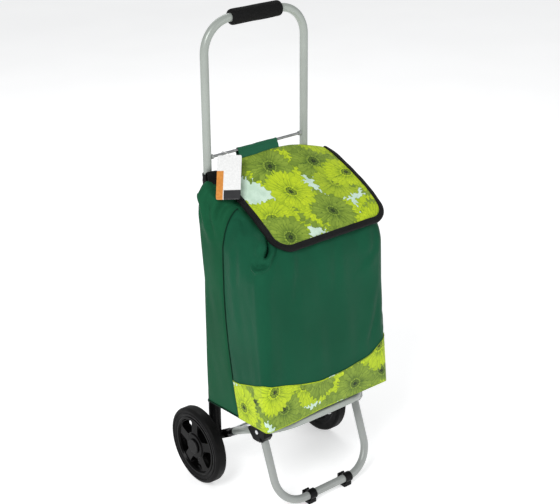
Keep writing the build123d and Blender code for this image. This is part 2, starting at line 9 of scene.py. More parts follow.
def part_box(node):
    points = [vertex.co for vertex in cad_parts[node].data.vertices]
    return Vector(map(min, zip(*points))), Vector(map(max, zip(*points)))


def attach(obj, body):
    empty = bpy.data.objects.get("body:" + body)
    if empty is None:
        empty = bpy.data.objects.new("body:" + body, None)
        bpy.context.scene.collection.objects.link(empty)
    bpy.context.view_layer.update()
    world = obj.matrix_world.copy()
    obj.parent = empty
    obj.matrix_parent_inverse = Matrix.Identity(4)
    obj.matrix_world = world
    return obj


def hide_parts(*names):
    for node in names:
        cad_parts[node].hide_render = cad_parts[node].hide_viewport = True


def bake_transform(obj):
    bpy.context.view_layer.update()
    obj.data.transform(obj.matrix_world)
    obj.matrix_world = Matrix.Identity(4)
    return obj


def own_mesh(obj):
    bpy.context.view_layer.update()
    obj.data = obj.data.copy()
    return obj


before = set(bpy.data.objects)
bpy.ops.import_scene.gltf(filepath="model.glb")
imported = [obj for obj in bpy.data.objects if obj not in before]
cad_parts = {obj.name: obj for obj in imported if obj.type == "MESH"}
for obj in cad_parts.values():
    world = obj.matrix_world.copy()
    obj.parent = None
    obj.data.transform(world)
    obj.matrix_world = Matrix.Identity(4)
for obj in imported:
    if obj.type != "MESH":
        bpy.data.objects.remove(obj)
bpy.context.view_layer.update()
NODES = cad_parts

# The axle line is the reference for every length below, which is in millimetres.
_a0, _a1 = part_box("axle")
AY = (_a0.y + _a1.y) / 2
AZ = (_a0.z + _a1.z) / 2
LIFT = AZ - 0.078        # heights below are drawn with the axle at 78


def P(x, y, z):
    """Millimetres, y from the axle line and z with the axle at 78, to the row frame in metres."""
    return Vector((x / 1000, AY + y / 1000, LIFT + z / 1000))


def to_row(a):
    a = np.asarray(a, float) / 1000.0
    a[..., 1] += AY
    a[..., 2] += LIFT
    return a


# ------------------------------------------------------------------ camera
cam_data = bpy.data.cameras.new("camera")
cam_data.sensor_width = 36.0
cam_data.lens = 82.65
cam_data.clip_start, cam_data.clip_end = 0.05, 60.0
cam = bpy.data.objects.new("camera", cam_data)
bpy.context.scene.collection.objects.link(cam)
_rt = Vector((0.78038906, -0.6250389, -0.01786847))
_up = Vector((0.26262738, 0.30170086, 0.91651702))
_fw = Vector((0.56746786, 0.71993261, -0.39959638))
_pos = P(-1423.97, -1884.98, 1490.62)
cam.matrix_world = Matrix((
    (_rt.x, _up.x, -_fw.x, _pos.x),
    (_rt.y, _up.y, -_fw.y, _pos.y),
    (_rt.z, _up.z, -_fw.z, _pos.z),
    (0, 0, 0, 1),
))
bpy.context.scene.camera = cam

# ------------------------------------------------------------------ light and floor
scene = bpy.context.scene
scene.view_settings.view_transform = "Standard"
scene.view_settings.look = "None"
world = bpy.data.worlds.new("studio")
scene.world = world
world.use_nodes = True
_bg = world.node_tree.nodes["Background"]
_bg.inputs[0].default_value = (0.97, 0.985, 1.0, 1)
_bg.inputs[1].default_value = 0.42


def area(name, loc, aim, size, watts, colour=(1, 1, 1)):
    d = bpy.data.lights.new(name, "AREA")
    d.shape = "RECTANGLE"
    d.size, d.size_y = size
    d.energy = watts
    d.color = colour
    o = bpy.data.objects.new(name, d)
    scene.collection.objects.link(o)
    o.location = Vector(loc)
    o.rotation_mode = "QUATERNION"
    o.rotation_quaternion = (Vector(aim) - Vector(loc)).to_track_quat("-Z", "Y")
    return o


area("key", (-2.2, -1.3, 2.5), (0, 0, 0.5), (1.1, 1.3), 62)
area("fill", (1.6, -2.6, 1.3), (0, 0, 0.5), (1.6, 1.8), 13)
area("back", (0.9, 2.0, 2.4), (0, 0, 0.5), (1.8, 1.4), 20)


def make_object(name, verts, faces, uv=None, smooth=True):
    me = bpy.data.meshes.new(name)
    me.from_pydata([tuple(v) for v in np.asarray(verts, float)], [], [tuple(int(i) for i in f) for f in faces])
    me.update()
    if uv is not None:
        layer = me.uv_layers.new(name="cloth")
        flat = np.asarray(uv, float).reshape(-1, 2)
        layer.data.foreach_set("uv", flat.astype(np.float32).ravel())
    if smooth:
        me.polygons.foreach_set("use_smooth", [True] * len(me.polygons))
    o = bpy.data.objects.new(name, me)
    scene.collection.objects.link(o)
    return o


# ------------------------------------------------------------------ shader helper
class Shader:
    """A material made node by node."""

    def __init__(self, name):
        self.mat = bpy.data.materials.new(name)
        self.mat.use_nodes = True
        self.tree = self.mat.node_tree
        self.tree.nodes.clear()
        out = self.tree.nodes.new("ShaderNodeOutputMaterial")
        self.bsdf = self.tree.nodes.new("ShaderNodeBsdfPrincipled")
        self.tree.links.new(self.bsdf.outputs[0], out.inputs[0])
        self._coord = None

    def put(self, value, socket):
        if isinstance(value, bpy.types.NodeSocket):
            self.tree.links.new(value, socket)
        elif value is not None:
            if isinstance(value, (tuple, list)) and len(value) == 3 and socket.type == "RGBA":
                value = (*value, 1.0)
            socket.default_value = value

    def node(self, kind, inputs=(), **props):
        n = self.tree.nodes.new(kind)
        for k, v in props.items():
            setattr(n, k, v)
        for k, v in dict(inputs).items():
            self.put(v, n.inputs[k])
        return n

    def math(self, op, a, b=None, c=None, clamp=False):
        n = self.node("ShaderNodeMath", operation=op, use_clamp=clamp)
        self.put(a, n.inputs[0])
        self.put(b, n.inputs[1])
        self.put(c, n.inputs[2])
        return n.outputs[0]

    def vmath(self, op, a, b=None, scale=None):
        n = self.node("ShaderNodeVectorMath", operation=op)
        self.put(a, n.inputs[0])
        self.put(b, n.inputs[1])
        if scale is not None:
            self.put(scale, n.inputs["Scale"])
        return n.outputs[0] if op not in ("LENGTH", "DOT_PRODUCT", "DISTANCE") else n.outputs["Value"]

    def mix(self, fac, a, b, blend="MIX"):
        n = self.node("ShaderNodeMix", data_type="RGBA", blend_type=blend)
        n.clamp_factor = True
        self.put(fac, n.inputs[0])
        self.put(a, n.inputs[6])
        self.put(b, n.inputs[7])
        return n.outputs[2]

    def step(self, value, low, high, to_low=0.0, to_high=1.0):
        """Smooth step from low to high."""
        n = self.node("ShaderNodeMapRange", interpolation_type="SMOOTHSTEP", clamp=True)
        self.put(value, n.inputs[0])
        for i, v in enumerate((low, high, to_low, to_high)):
            self.put(v, n.inputs[1 + i])
        return n.outputs[0]

    def coord(self):
        """The row frame, in metres."""
        if self._coord is None:
            self._coord = self.node("ShaderNodeTexCoord").outputs["Object"]
        return self._coord

    def cloth(self):
        """Metres along the cloth."""
        return self.node("ShaderNodeUVMap", uv_map="cloth").outputs[0]

    def split(self, v):
        n = self.node("ShaderNodeSeparateXYZ")
        self.put(v, n.inputs[0])
        return n.outputs

    def join(self, x, y, z=0.0):
        n = self.node("ShaderNodeCombineXYZ")
        for i, v in enumerate((x, y, z)):
            self.put(v, n.inputs[i])
        return n.outputs[0]

    def noise(self, scale, detail=2.0, vector=None, rough=0.5, distortion=0.0):
        n = self.node("ShaderNodeTexNoise", {"Scale": scale, "Detail": detail, "Roughness": rough, "Distortion": distortion})
        self.put(vector if vector is not None else self.coord(), n.inputs["Vector"])
        return n.outputs[0]

    def voronoi(self, scale, vector=None, **props):
        n = self.node("ShaderNodeTexVoronoi", {"Scale": scale}, **props)
        self.put(vector if vector is not None else self.coord(), n.inputs["Vector"])
        return n

    def bump(self, height, distance, strength=1.0, normal=None):
        n = self.node("ShaderNodeBump", {"Height": height, "Distance": distance, "Strength": strength})
        if normal is not None:
            self.put(normal, n.inputs["Normal"])
        return n.outputs[0]

    def set(self, **values):
        for k, v in values.items():
            self.put(v, self.bsdf.inputs[k.replace("_", " ")])
        return self.mat


def tint(s, base, amount, scale, detail=3.0, vector=None):
    """base, lightened and darkened in soft patches."""
    n = s.noise(scale, detail, vector)
    dark = tuple(c * (1 - amount) for c in base)
    light = tuple(min(1.0, c * (1 + amount)) for c in base)
    return s.mix(s.step(n, 0.3, 0.7), dark, light)


def powder_coat(name, base):
    s = Shader(name)
    col = tint(s, base, 0.05, 9.0)
    fleck = s.noise(2600.0, 1.0)
    col = s.mix(s.step(fleck, 0.58, 0.75, 0.0, 0.35), col, tuple(min(1, c * 1.5) for c in base))
    scuff = s.math("MULTIPLY", s.step(s.noise(70.0, 5.0, rough=0.7), 0.62, 0.72), s.step(s.noise(6.0, 2.0), 0.5, 0.7))
    col = s.mix(s.math("MULTIPLY", scuff, 0.25), col, (0.25, 0.26, 0.25))
    rough = s.math("ADD", s.step(s.noise(40.0, 3.0), 0.3, 0.7, 0.30, 0.40), s.math("MULTIPLY", scuff, 0.15))
    nrm = s.bump(s.noise(900.0, 2.0), 0.00012, 0.35)
    s.bsdf.inputs["Specular IOR Level"].default_value = 0.3
    return s.set(Base_Color=col, Roughness=rough, Normal=nrm, Metallic=0.15)


def zinc(name, base=(0.72, 0.73, 0.74), rough=0.22):
    s = Shader(name)
    x, y, z = s.split(s.coord())[:3]
    streak = s.noise(1.0, 3.0, s.join(s.math("MULTIPLY", x, 60.0), s.math("MULTIPLY", y, 500.0), s.math("MULTIPLY", z, 500.0)))
    col = s.mix(s.step(streak, 0.3, 0.7), tuple(c * 0.86 for c in base), base)
    r = s.step(s.noise(120.0, 4.0), 0.3, 0.75, rough * 0.8, rough * 1.6)
    return s.set(Base_Color=col, Roughness=r, Metallic=1.0, Normal=s.bump(streak, 0.00004, 0.4))


def plastic(name, base, rough=0.4, grain=1400.0, depth=0.00010, spec=0.5):
    s = Shader(name)
    col = tint(s, base, 0.14, 22.0, 4.0)
    dust = s.step(s.noise(240.0, 6.0, rough=0.7), 0.58, 0.8, 0.0, 0.06)
    col = s.mix(dust, col, tuple(min(1, c * 3 + 0.01) for c in base))
    v = s.voronoi(grain, feature="SMOOTH_F1")
    r = s.step(s.noise(60.0, 3.0), 0.3, 0.7, rough * 0.88, rough * 1.15)
    s.bsdf.inputs["Specular IOR Level"].default_value = spec
    return s.set(Base_Color=col, Roughness=r, Normal=s.bump(v.outputs["Distance"], depth, 0.5))


def tyre(name):
    s = Shader(name)
    s.bsdf.inputs["Specular IOR Level"].default_value = 0.10
    col = tint(s, (0.0040, 0.0040, 0.0042), 0.2, 30.0, 4.0)
    x, y, z = s.split(s.coord())[:3]
    dy, dz = s.math("SUBTRACT", y, AY), s.math("SUBTRACT", z, AZ)
    radius = s.math("SQRT", s.math("ADD", s.math("MULTIPLY", dy, dy), s.math("MULTIPLY", dz, dz)))
    tread = s.step(radius, 0.0797, 0.0812)
    col = s.mix(s.math("MULTIPLY", tread, s.step(s.noise(90.0, 5.0), 0.4, 0.7, 0.1, 0.5)), col, (0.010, 0.0095, 0.009))
    rings = s.math("SINE", s.math("MULTIPLY", radius, 2 * math.pi / 0.0016))
    side = s.math("MULTIPLY", rings, s.math("SUBTRACT", 1.0, tread))
    nrm = s.bump(s.math("ADD", s.math("MULTIPLY", side, 0.35), s.noise(700.0, 3.0)), 0.00016, 0.45)
    return s.set(Base_Color=col, Roughness=s.step(s.noise(50.0, 3.0), 0.3, 0.7, 0.46, 0.6), Normal=nrm)


def foam(name):
    s = Shader(name)
    cells = s.voronoi(620.0, feature="F1", distance="EUCLIDEAN")
    fine = s.voronoi(1500.0, feature="F1")
    # painted shade: the foam is darker in the pits of its cells, where its bump is lowest
    col = s.mix(s.step(cells.outputs["Distance"], 0.1, 0.7), (0.003, 0.003, 0.003), (0.011, 0.011, 0.011))
    h = s.math("ADD", cells.outputs["Distance"], s.math("MULTIPLY", fine.outputs["Distance"], 0.5))
    s.bsdf.inputs["Specular IOR Level"].default_value = 0.10
    return s.set(Base_Color=col, Roughness=0.82, Normal=s.bump(s.math("ADD", h, s.noise(30.0, 2.0)), 0.0006, 0.6))


def weave_height(s, uv, pitch):
    """Plain weave: over and under threads, and the two thread directions' ripple."""
    u, v = s.split(uv)[:2]
    wob = s.math("MULTIPLY", s.noise(140.0, 2.0, uv), 1.2)
    a = s.math("ADD", s.math("MULTIPLY", u, math.pi / pitch), wob)
    b = s.math("ADD", s.math("MULTIPLY", v, math.pi / pitch), wob)
    return s.math("MULTIPLY", s.math("SINE", a), s.math("SINE", b))


def cloth(name, base, pitch=0.00062, rough=0.42, sheen=0.0, uv=None, shade=0.10, creases=True, spec=0.07):
    s = Shader(name)
    uv = s.cloth()
    w = weave_height(s, uv, pitch)
    col = tint(s, base, shade, 7.0, 4.0)
    slub = s.split(uv)
    yarn = s.noise(1.0, 2.0, s.join(s.math("MULTIPLY", slub[0], 40.0), s.math("MULTIPLY", slub[1], 900.0)))
    yarn2 = s.noise(1.0, 2.0, s.join(s.math("MULTIPLY", slub[0], 900.0), s.math("MULTIPLY", slub[1], 40.0)))
    mixy = s.math("MULTIPLY", s.math("ADD", yarn, yarn2), 0.5)
    col = s.mix(s.step(mixy, 0.35, 0.65, 0.16, 0.0), col, tuple(c * 0.55 for c in base))
    # painted shade: the colour is darkened where the weave dips between the threads
    col = s.mix(s.step(w, -0.9, -0.2, 0.30, 0.0), col, tuple(c * 0.45 for c in base))
    nrm = s.bump(w, 0.00009, 0.55)
    if creases:
        soft = s.noise(22.0, 4.0, distortion=0.6)
        nrm = s.bump(soft, 0.0016, 0.35, nrm)
    s.bsdf.inputs["Sheen Weight"].default_value = sheen
    s.bsdf.inputs["Sheen Roughness"].default_value = 0.35
    s.bsdf.inputs["Sheen Tint"].default_value = (0.75, 1.0, 0.85, 1)
    # a filament weave: its shine takes the cloth's own colour
    s.bsdf.inputs["Specular IOR Level"].default_value = spec
    s.bsdf.inputs["Specular Tint"].default_value = (*(0.12 + 0.88 * c / max(base) for c in base), 1)
    return s.set(Base_Color=col, Roughness=s.step(mixy, 0.3, 0.7, rough * 0.9, rough * 1.12), Normal=nrm)


def tape(name, base=(0.0055, 0.0058, 0.0058)):
    """Ribbed woven tape."""
    s = Shader(name)
    u, v = s.split(s.cloth())[:2]
    ribs = s.math("SINE", s.math("MULTIPLY", u, 2 * math.pi / 0.0011))
    cross = s.math("SINE", s.math("MULTIPLY", v, 2 * math.pi / 0.0016))
    h = s.math("ADD", ribs, s.math("MULTIPLY", cross, 0.4))
    # painted shade: the tape is darkened in the valleys between its ribs
    col = s.mix(s.step(ribs, -1.0, 0.2, 0.5, 0.0), base, tuple(c * 0.4 for c in base))
    col = s.mix(s.step(s.noise(30.0, 3.0), 0.35, 0.7, 0.0, 0.35), col, tuple(c * 1.8 for c in base))
    s.bsdf.inputs["Sheen Weight"].default_value = 0.03
    s.bsdf.inputs["Sheen Roughness"].default_value = 0.4
    s.bsdf.inputs["Specular IOR Level"].default_value = 0.15
    return s.set(Base_Color=col, Roughness=0.6, Normal=s.bump(h, 0.00022, 0.6))


def daisy_print(name, weave=0.00055):
    """A common flower print: crowded daisies with thin ragged petals, in two greens on pale mint."""
    s = Shader(name)
    uv0 = s.cloth()
    uv = s.vmath("ADD", uv0, (0.0, 0.0, 0.0))
    uv.node.name = "shift"
    wob = s.node("ShaderNodeTexNoise", {"Scale": 42.0, "Detail": 2.0})
    s.put(uv, wob.inputs["Vector"])
    off = s.vmath("SCALE", s.vmath("SUBTRACT", wob.outputs["Color"], (0.5, 0.5, 0.5)), scale=0.0050)
    uvw = s.vmath("ADD", uv, off)
    ragged = s.math("SUBTRACT", s.noise(210.0, 3.0, uv), 0.5)
    streak = s.noise(900.0, 2.0, uv)

    def fmix(fac, a, b):
        n = s.node("ShaderNodeMix", data_type="FLOAT")
        n.clamp_factor = True
        for i, v in ((0, fac), (2, a), (3, b)):
            s.put(v, n.inputs[i])
        return n.outputs[0]

    # tone runs from the dark eye (0) over the drawn lines (0.4) to the petals (0.65 to 1)
    state = {"tone": 1.0, "kind": 0.0, "paper": 1.0}

    def layer(cell, radius, move, keep, petals, dull, slant=0.0):
        turned = s.node("ShaderNodeVectorRotate", {"Angle": slant}, rotation_type="Z_AXIS")
        s.put(s.vmath("ADD", uvw, (move[0], move[1], 0.0)), turned.inputs["Vector"])
        v = turned.outputs["Vector"]
        vo = s.voronoi(1.0 / cell, v, voronoi_dimensions="2D", feature="F1")
        vo.inputs["Randomness"].default_value = 0.32
        dx, dy = s.split(s.vmath("SUBTRACT", v, vo.outputs["Position"]))[:2]
        rnd = s.node("ShaderNodeSeparateColor", {"Color": vo.outputs["Color"]}).outputs
        # each head is seen a little from one side, so it is not a perfect circle
        ang0 = s.math("MULTIPLY", rnd[0], 6.283)
        ca, sa = s.math("COSINE", ang0), s.math("SINE", ang0)
        ex = s.math("ADD", s.math("MULTIPLY", dx, ca), s.math("MULTIPLY", dy, sa))
        ey = s.math("SUBTRACT", s.math("MULTIPLY", dy, ca), s.math("MULTIPLY", dx, sa))
        ey = s.math("MULTIPLY", ey, s.math("MULTIPLY_ADD", rnd[1], 0.30, 1.0))
        rr = s.math("DIVIDE", s.math("SQRT", s.math("ADD", s.math("MULTIPLY", ex, ex), s.math("MULTIPLY", ey, ey))), radius)
        a = s.math("ARCTAN2", ey, ex)
        # petals of uneven width that bend as they go out
        aw = s.math("MULTIPLY_ADD", s.math("SINE", s.math("MULTIPLY_ADD", a, 3.0, s.math("MULTIPLY", rnd[1], 6.0))), 0.10, a)
        aw = s.math("MULTIPLY_ADD", s.math("SINE", s.math("MULTIPLY_ADD", a, 8.0, s.math("MULTIPLY", rnd[2], 9.0))), 0.05, aw)
        aw = s.math("MULTIPLY_ADD", s.math("SUBTRACT", rnd[2], 0.5), s.math("MULTIPLY", rr, 0.32), aw)
        aw = s.math("MULTIPLY_ADD", ragged, 0.13, aw)
        shown = s.step(rnd[2], keep - 0.001, keep + 0.001)
        whole = None
        for turn, reach, count, drop in ((0.0, 1.04, petals, 0.42), (0.5, 0.93, petals, 0.10), (0.2, 0.66, petals - 5, 0.0)):
            k = s.math("MULTIPLY_ADD", aw, count / (2 * math.pi), turn + 4 * count)
            num = s.math("FLOORED_MODULO", s.math("FLOOR", k), float(count))
            wn = s.node("ShaderNodeTexWhiteNoise", noise_dimensions="2D")
            s.put(s.join(num, s.math("MULTIPLY", rnd[0], 97.0)), wn.inputs["Vector"])
            per = wn.outputs["Value"]
            f = s.math("MULTIPLY", s.math("ABSOLUTE", s.math("SUBTRACT", s.math("FRACT", k), 0.5)), 2.0)
            tip = s.math("MULTIPLY_ADD", per, 0.17, reach - 0.15)
            tip = s.math("MULTIPLY_ADD", s.math("POWER", f, 2.4), -0.26, tip)
            left = s.math("SUBTRACT", tip, rr)
            # drawn lines: the petal's outline, and fine veins
            gap = s.math("MULTIPLY", s.math("MULTIPLY", s.math("SUBTRACT", 1.0, f), rr), radius * math.pi / count)
            line = s.math("MULTIPLY", s.step(gap, 0.00016, 0.00072, 1.0, 0.0), s.step(rr, 0.25, 0.55, 0.45, 1.0))
            line = s.math("MAXIMUM", line, s.step(left, 0.010, 0.034, 0.75, 0.0))
            vein = s.math("MULTIPLY", s.step(s.math("ABSOLUTE", s.math("SUBTRACT", f, 0.36)), 0.05, 0.16, 0.42, 0.0), s.step(streak, 0.38, 0.56))
            line = s.math("MAXIMUM", line, s.math("MULTIPLY", vein, s.step(left, 0.05, 0.30, 0.0, 1.0)))
            body = s.step(rr, 0.20, 0.62, 0.65, 1.0)
            body = s.math("MULTIPLY_ADD", per, -0.22, body)
            body = s.math("MULTIPLY_ADD", s.math("MULTIPLY", f, f), -0.17, s.math("SUBTRACT", body, 0.42 * drop))
            body = fmix(line, body, 0.36)
            mask = s.math("MULTIPLY", s.step(left, -0.006, 0.010), shown)
            state["tone"] = fmix(mask, state["tone"], body)
            whole = mask if whole is None else s.math("MAXIMUM", whole, mask)
        # the eye: rings of short florets round a dark button
        rw = s.math("MULTIPLY_ADD", ragged, 0.10, rr)
        eye = s.step(s.math("SINE", s.math("MULTIPLY", aw, 23.0)), -0.5, 0.5, 0.50, 0.95)
        eye = fmix(s.step(s.math("ABSOLUTE", s.math("SUBTRACT", rw, 0.285)), 0.004, 0.018, 0.75, 0.0), eye, 0.35)
        inner = s.step(s.math("SINE", s.math("MULTIPLY", aw, 15.0)), -0.3, 0.6, 0.24, 0.52)
        eye = fmix(s.step(rw, 0.195, 0.180), eye, inner)
        eye = fmix(s.step(s.math("ABSOLUTE", s.math("SUBTRACT", rw, 0.188)), 0.004, 0.020, 0.85, 0.0), eye, 0.14)
        eye = fmix(s.step(rw, 0.098, 0.078), eye, s.step(streak, 0.58, 0.66, 0.0, 0.62))
        state["tone"] = fmix(s.math("MULTIPLY", s.step(rw, 0.300, 0.275), shown), state["tone"], eye)
        bright = s.step(rnd[0], 0.44 + dull, 0.48 + dull)
        state["kind"] = fmix(whole, state["kind"], bright)
        state["paper"] = s.math("MULTIPLY", state["paper"], s.math("SUBTRACT", 1.0, whole))

    layer(0.113, 0.054, (0.013, 0.041), -0.01, 25, 0.10, 0.5)
    layer(0.121, 0.056, (0.081, 0.097), -0.01, 27, 0.06, 1.9)
    layer(0.116, 0.050, (0.047, 0.012), 0.04, 24, 0.16, 1.2)
    layer(0.125, 0.053, (0.108, 0.063), 0.06, 26, 0.02, 2.7)
    layer(0.139, 0.054, (0.029, 0.118), 0.12, 28, -0.10, 0.0)

    def ramp(fac, stops):
        n = s.node("ShaderNodeValToRGB")
        s.put(fac, n.inputs[0])
        e = n.color_ramp.elements
        while len(e) < len(stops):
            e.new(0.5)
        for el, (pos, c) in zip(e, stops):
            el.position, el.color = pos, (*c, 1.0)
        return n.outputs[0]

    dark = ramp(state["tone"], ((0.0, (0.020, 0.036, 0.012)), (0.2, (0.050, 0.085, 0.016)), (0.36, (0.072, 0.135, 0.020)), (0.65, (0.190, 0.290, 0.034)), (1.0, (0.315, 0.440, 0.052))))
    lime = ramp(state["tone"], ((0.0, (0.020, 0.036, 0.012)), (0.2, (0.075, 0.125, 0.020)), (0.36, (0.170, 0.270, 0.016)), (0.65, (0.430, 0.580, 0.022)), (1.0, (0.620, 0.765, 0.024))))
    mint = s.mix(s.step(s.noise(60.0, 3.0, uv), 0.35, 0.65), (0.56, 0.74, 0.60), (0.68, 0.86, 0.72))
    col = s.mix(state["paper"], s.mix(state["kind"], dark, lime), mint)
    w = weave_height(s, uv0, weave)
    # painted shade: the print is darkened where the weave dips between the threads
    col = s.mix(s.step(w, -0.9, -0.2, 0.20, 0.0), col, (0.05, 0.08, 0.01))
    nrm = s.bump(w, 0.00008, 0.5)
    nrm = s.bump(s.noise(26.0, 4.0, distortion=0.4), 0.0012, 0.30, nrm)
    s.bsdf.inputs["Sheen Weight"].default_value = 0.03
    s.bsdf.inputs["Sheen Roughness"].default_value = 0.35
    s.bsdf.inputs["Specular IOR Level"].default_value = 0.18
    return s.set(Base_Color=col, Roughness=0.5, Normal=nrm)


M = {
    "tube": powder_coat("tube_grey", (0.355, 0.385, 0.355)),
    "foot": powder_coat("foot_grey", (0.335, 0.352, 0.338)),
    "zinc": zinc("bright_zinc"),
    "rod": zinc("rod_zinc", (0.34, 0.345, 0.35), 0.42),
    "steel": zinc("dull_zinc", (0.55, 0.56, 0.57), 0.34),
    "black": plastic("black_plastic", (0.0035, 0.0035, 0.0038), 0.38, spec=0.12),
    "socket": plastic("socket_plastic", (0.003, 0.003, 0.0033), 0.42, spec=0.10),
    "wheel": plastic("wheel_plastic", (0.0022, 0.0022, 0.0022), 0.20, 900.0, 0.00006, spec=0.06),
    "tyre": tyre("tyre_rubber"),
    "foam": foam("foam_skin"),
    "green": cloth("bag_green", (0.0110, 0.083, 0.043)),
    # painted light: the same fabric as the front, given its own base tone to match how the side panels and collar take
    # the light
    "side": cloth("bag_side_green_lit_tone", (0.0110, 0.084, 0.038)),
    # painted light: the bag's own fabric made lighter to stand in for the light the sleeve catches
    "sleeve": cloth("sleeve_green_painted_light", (0.024, 0.122, 0.066)),
    "lining": cloth("bag_lining", (0.012, 0.060, 0.034), sheen=0.05, rough=0.6),
    "print": daisy_print("daisy_print"),
    "tape": tape("black_tape"),
    # dark green for the piping, the floor piece and the floor's edge; on the seams its darkness is partly the piping's
    # own colour and partly painted shade of the folds the seams lie in
    "piping": cloth("piping_green_and_seam_shade", (0.008, 0.030, 0.018), 0.0005, 0.55, creases=False),
    "board": plastic("board_grey", (0.05, 0.05, 0.052), 0.6, 300.0, 0.0002),
}


M["band"] = M["print"].copy()
M["band"].name = "daisy_band"
M["band"].node_tree.nodes["shift"].inputs[1].default_value = (0.31, 0.17, 0.0)


def dress(node, key):
    o = NODES[node]
    o.data.materials.clear()
    o.data.materials.append(M[key])


for n in ("handle_frame", "platform_tube"):
    dress(n, "tube")
dress("foot_tube", "foot")
dress("bag_rod", "rod")
for n in ("axle", "base_rivet"):
    dress(n, "steel")
dress("base_board", "board")
for side in ("left", "right"):
    dress(f"rod_grommet_{side}", "foot")
    dress(f"foot_plug_{side}", "foot")
    for n in ("axle_cap", "foot_clip", "arm_end", "foot_pin"):
        dress(f"{n}_{side}", "black")
    dress(f"leg_socket_{side}", "socket")
    for n in ("socket_rivet", "axle_collar", "wheel_washer", "bracket_rivet"):
        dress(f"{n}_{side}", "zinc")
    dress(f"wheel_rim_{side}", "wheel")
    dress(f"wheel_bush_{side}", "wheel")
    dress(f"wheel_tyre_{side}", "tyre")


dress("foot_bracket_left", "black")
dress("foot_bracket_right", "foot")


def modifier(o, kind, **props):
    m = o.modifiers.new(kind.lower(), kind)
    for k, v in props.items():
        setattr(m, k, v)
    return m


def grid(name, pts, uv, mat, closed=False, close_uv=None, flip=False):
    """A mesh from rows x columns of points in the row frame; closed joins the last column to the first."""
    rows, cols = pts.shape[:2]
    faces, loops = [], []
    last = cols if closed else cols - 1
    for i in range(rows - 1):
        for j in range(last):
            k = (j + 1) % cols
            f = [i * cols + j, i * cols + k, (i + 1) * cols + k, (i + 1) * cols + j]
            ua, ub = uv[i, j], uv[i, k].copy()
            uc, ud = uv[i + 1, k].copy(), uv[i + 1, j]
            if closed and k == 0:
                ub = np.array([close_uv[i], uv[i, k, 1]])
                uc = np.array([close_uv[i + 1], uv[i + 1, k, 1]])
            t = [ua, ub, uc, ud]
            if flip:
                f, t = f[::-1], t[::-1]
            faces.append(f)
            loops += [list(x) for x in t]
    o = make_object(name, pts.reshape(-1, 3), faces, loops)
    o.data.materials.append(mat)
    return o


def tube_along(name, pts, radius, mat, segs=12, closed=False, radii=None, flat=None):
    """A round or flattened tube along a list of points in the row frame. flat gives its half height across."""
    pts = np.asarray(pts, float)
    n = len(pts)
    tan = np.zeros_like(pts)
    for i in range(n):
        a, b = (pts[(i - 1) % n], pts[(i + 1) % n]) if closed else (pts[max(i - 1, 0)], pts[min(i + 1, n - 1)])
        tan[i] = (b - a) / (np.linalg.norm(b - a) + 1e-12)
    ref = np.array([0, 0, 1.0]) if abs(tan[0][2]) < 0.9 else np.array([1.0, 0, 0])
    nrm = np.zeros_like(pts)
    v = ref - tan[0] * (ref @ tan[0])
    nrm[0] = v / np.linalg.norm(v)
    for i in range(1, n):
        v = nrm[i - 1] - tan[i] * (nrm[i - 1] @ tan[i])
        nrm[i] = v / np.linalg.norm(v)
    bi = np.cross(tan, nrm)
    ang = np.linspace(0, 2 * math.pi, segs, endpoint=False)
    rad = np.full(n, radius) if radii is None else np.asarray(radii)
    ring = []
    for i in range(n):
        ring.append(pts[i] + rad[i] * (np.cos(ang)[:, None] * nrm[i] + np.sin(ang)[:, None] * bi[i]))
    g = np.array(ring)
    s = np.concatenate([[0], np.cumsum(np.linalg.norm(np.diff(pts, axis=0), axis=1))])
    uv = np.zeros((n, segs, 2))
    uv[..., 0] = ang[None, :] * radius
    uv[..., 1] = s[:, None]
    o = grid(name, g, uv, mat, closed=True, close_uv=np.full(n, 2 * math.pi * radius), flip=True)
    me = o.data
    if not closed:
        bm = bmesh.new()
        bm.from_mesh(me)
        bm.verts.ensure_lookup_table()
        bm.faces.new([bm.verts[j] for j in range(segs)])
        bm.faces.new([bm.verts[(n - 1) * segs + j] for j in range(segs)][::-1])
        bmesh.ops.recalc_face_normals(bm, faces=bm.faces)
        bm.to_mesh(me)
        bm.free()
        me.polygons.foreach_set("use_smooth", [True] * len(me.polygons))
    return o


# ------------------------------------------------------------------ the bag's surface
def table(x, pairs):
    xs, ys = zip(*sorted(pairs))
    return np.interp(x, xs, ys)


SLOPE = 0.5585
FLAP_Z0 = 668.6          # height of the flap's upper face at the axle plane


def flap_top(y):
    return FLAP_Z0 + SLOPE * y


def smooth(t):
    t = np.clip(t, 0, 1)
    return t * t * (3 - 2 * t)


def bump1(x, c, w):
    return np.exp(-((x - c) / w) ** 2)


# columns: (segment, count), going round from the rear left corner. The seams lie on segment joints.
SEG = (("rl", 8), ("l1", 30), ("l2", 58), ("fl", 34), ("f", 112), ("fr", 16), ("r1", 26), ("r2", 20), ("rr", 8), ("b", 52))
KIND = np.array([k for k, n in SEG for _ in range(n)])
NC = len(KIND)
START = {}
_n = 0
for _k, _c_ in SEG:
    START[_k] = _n
    _n += _c_


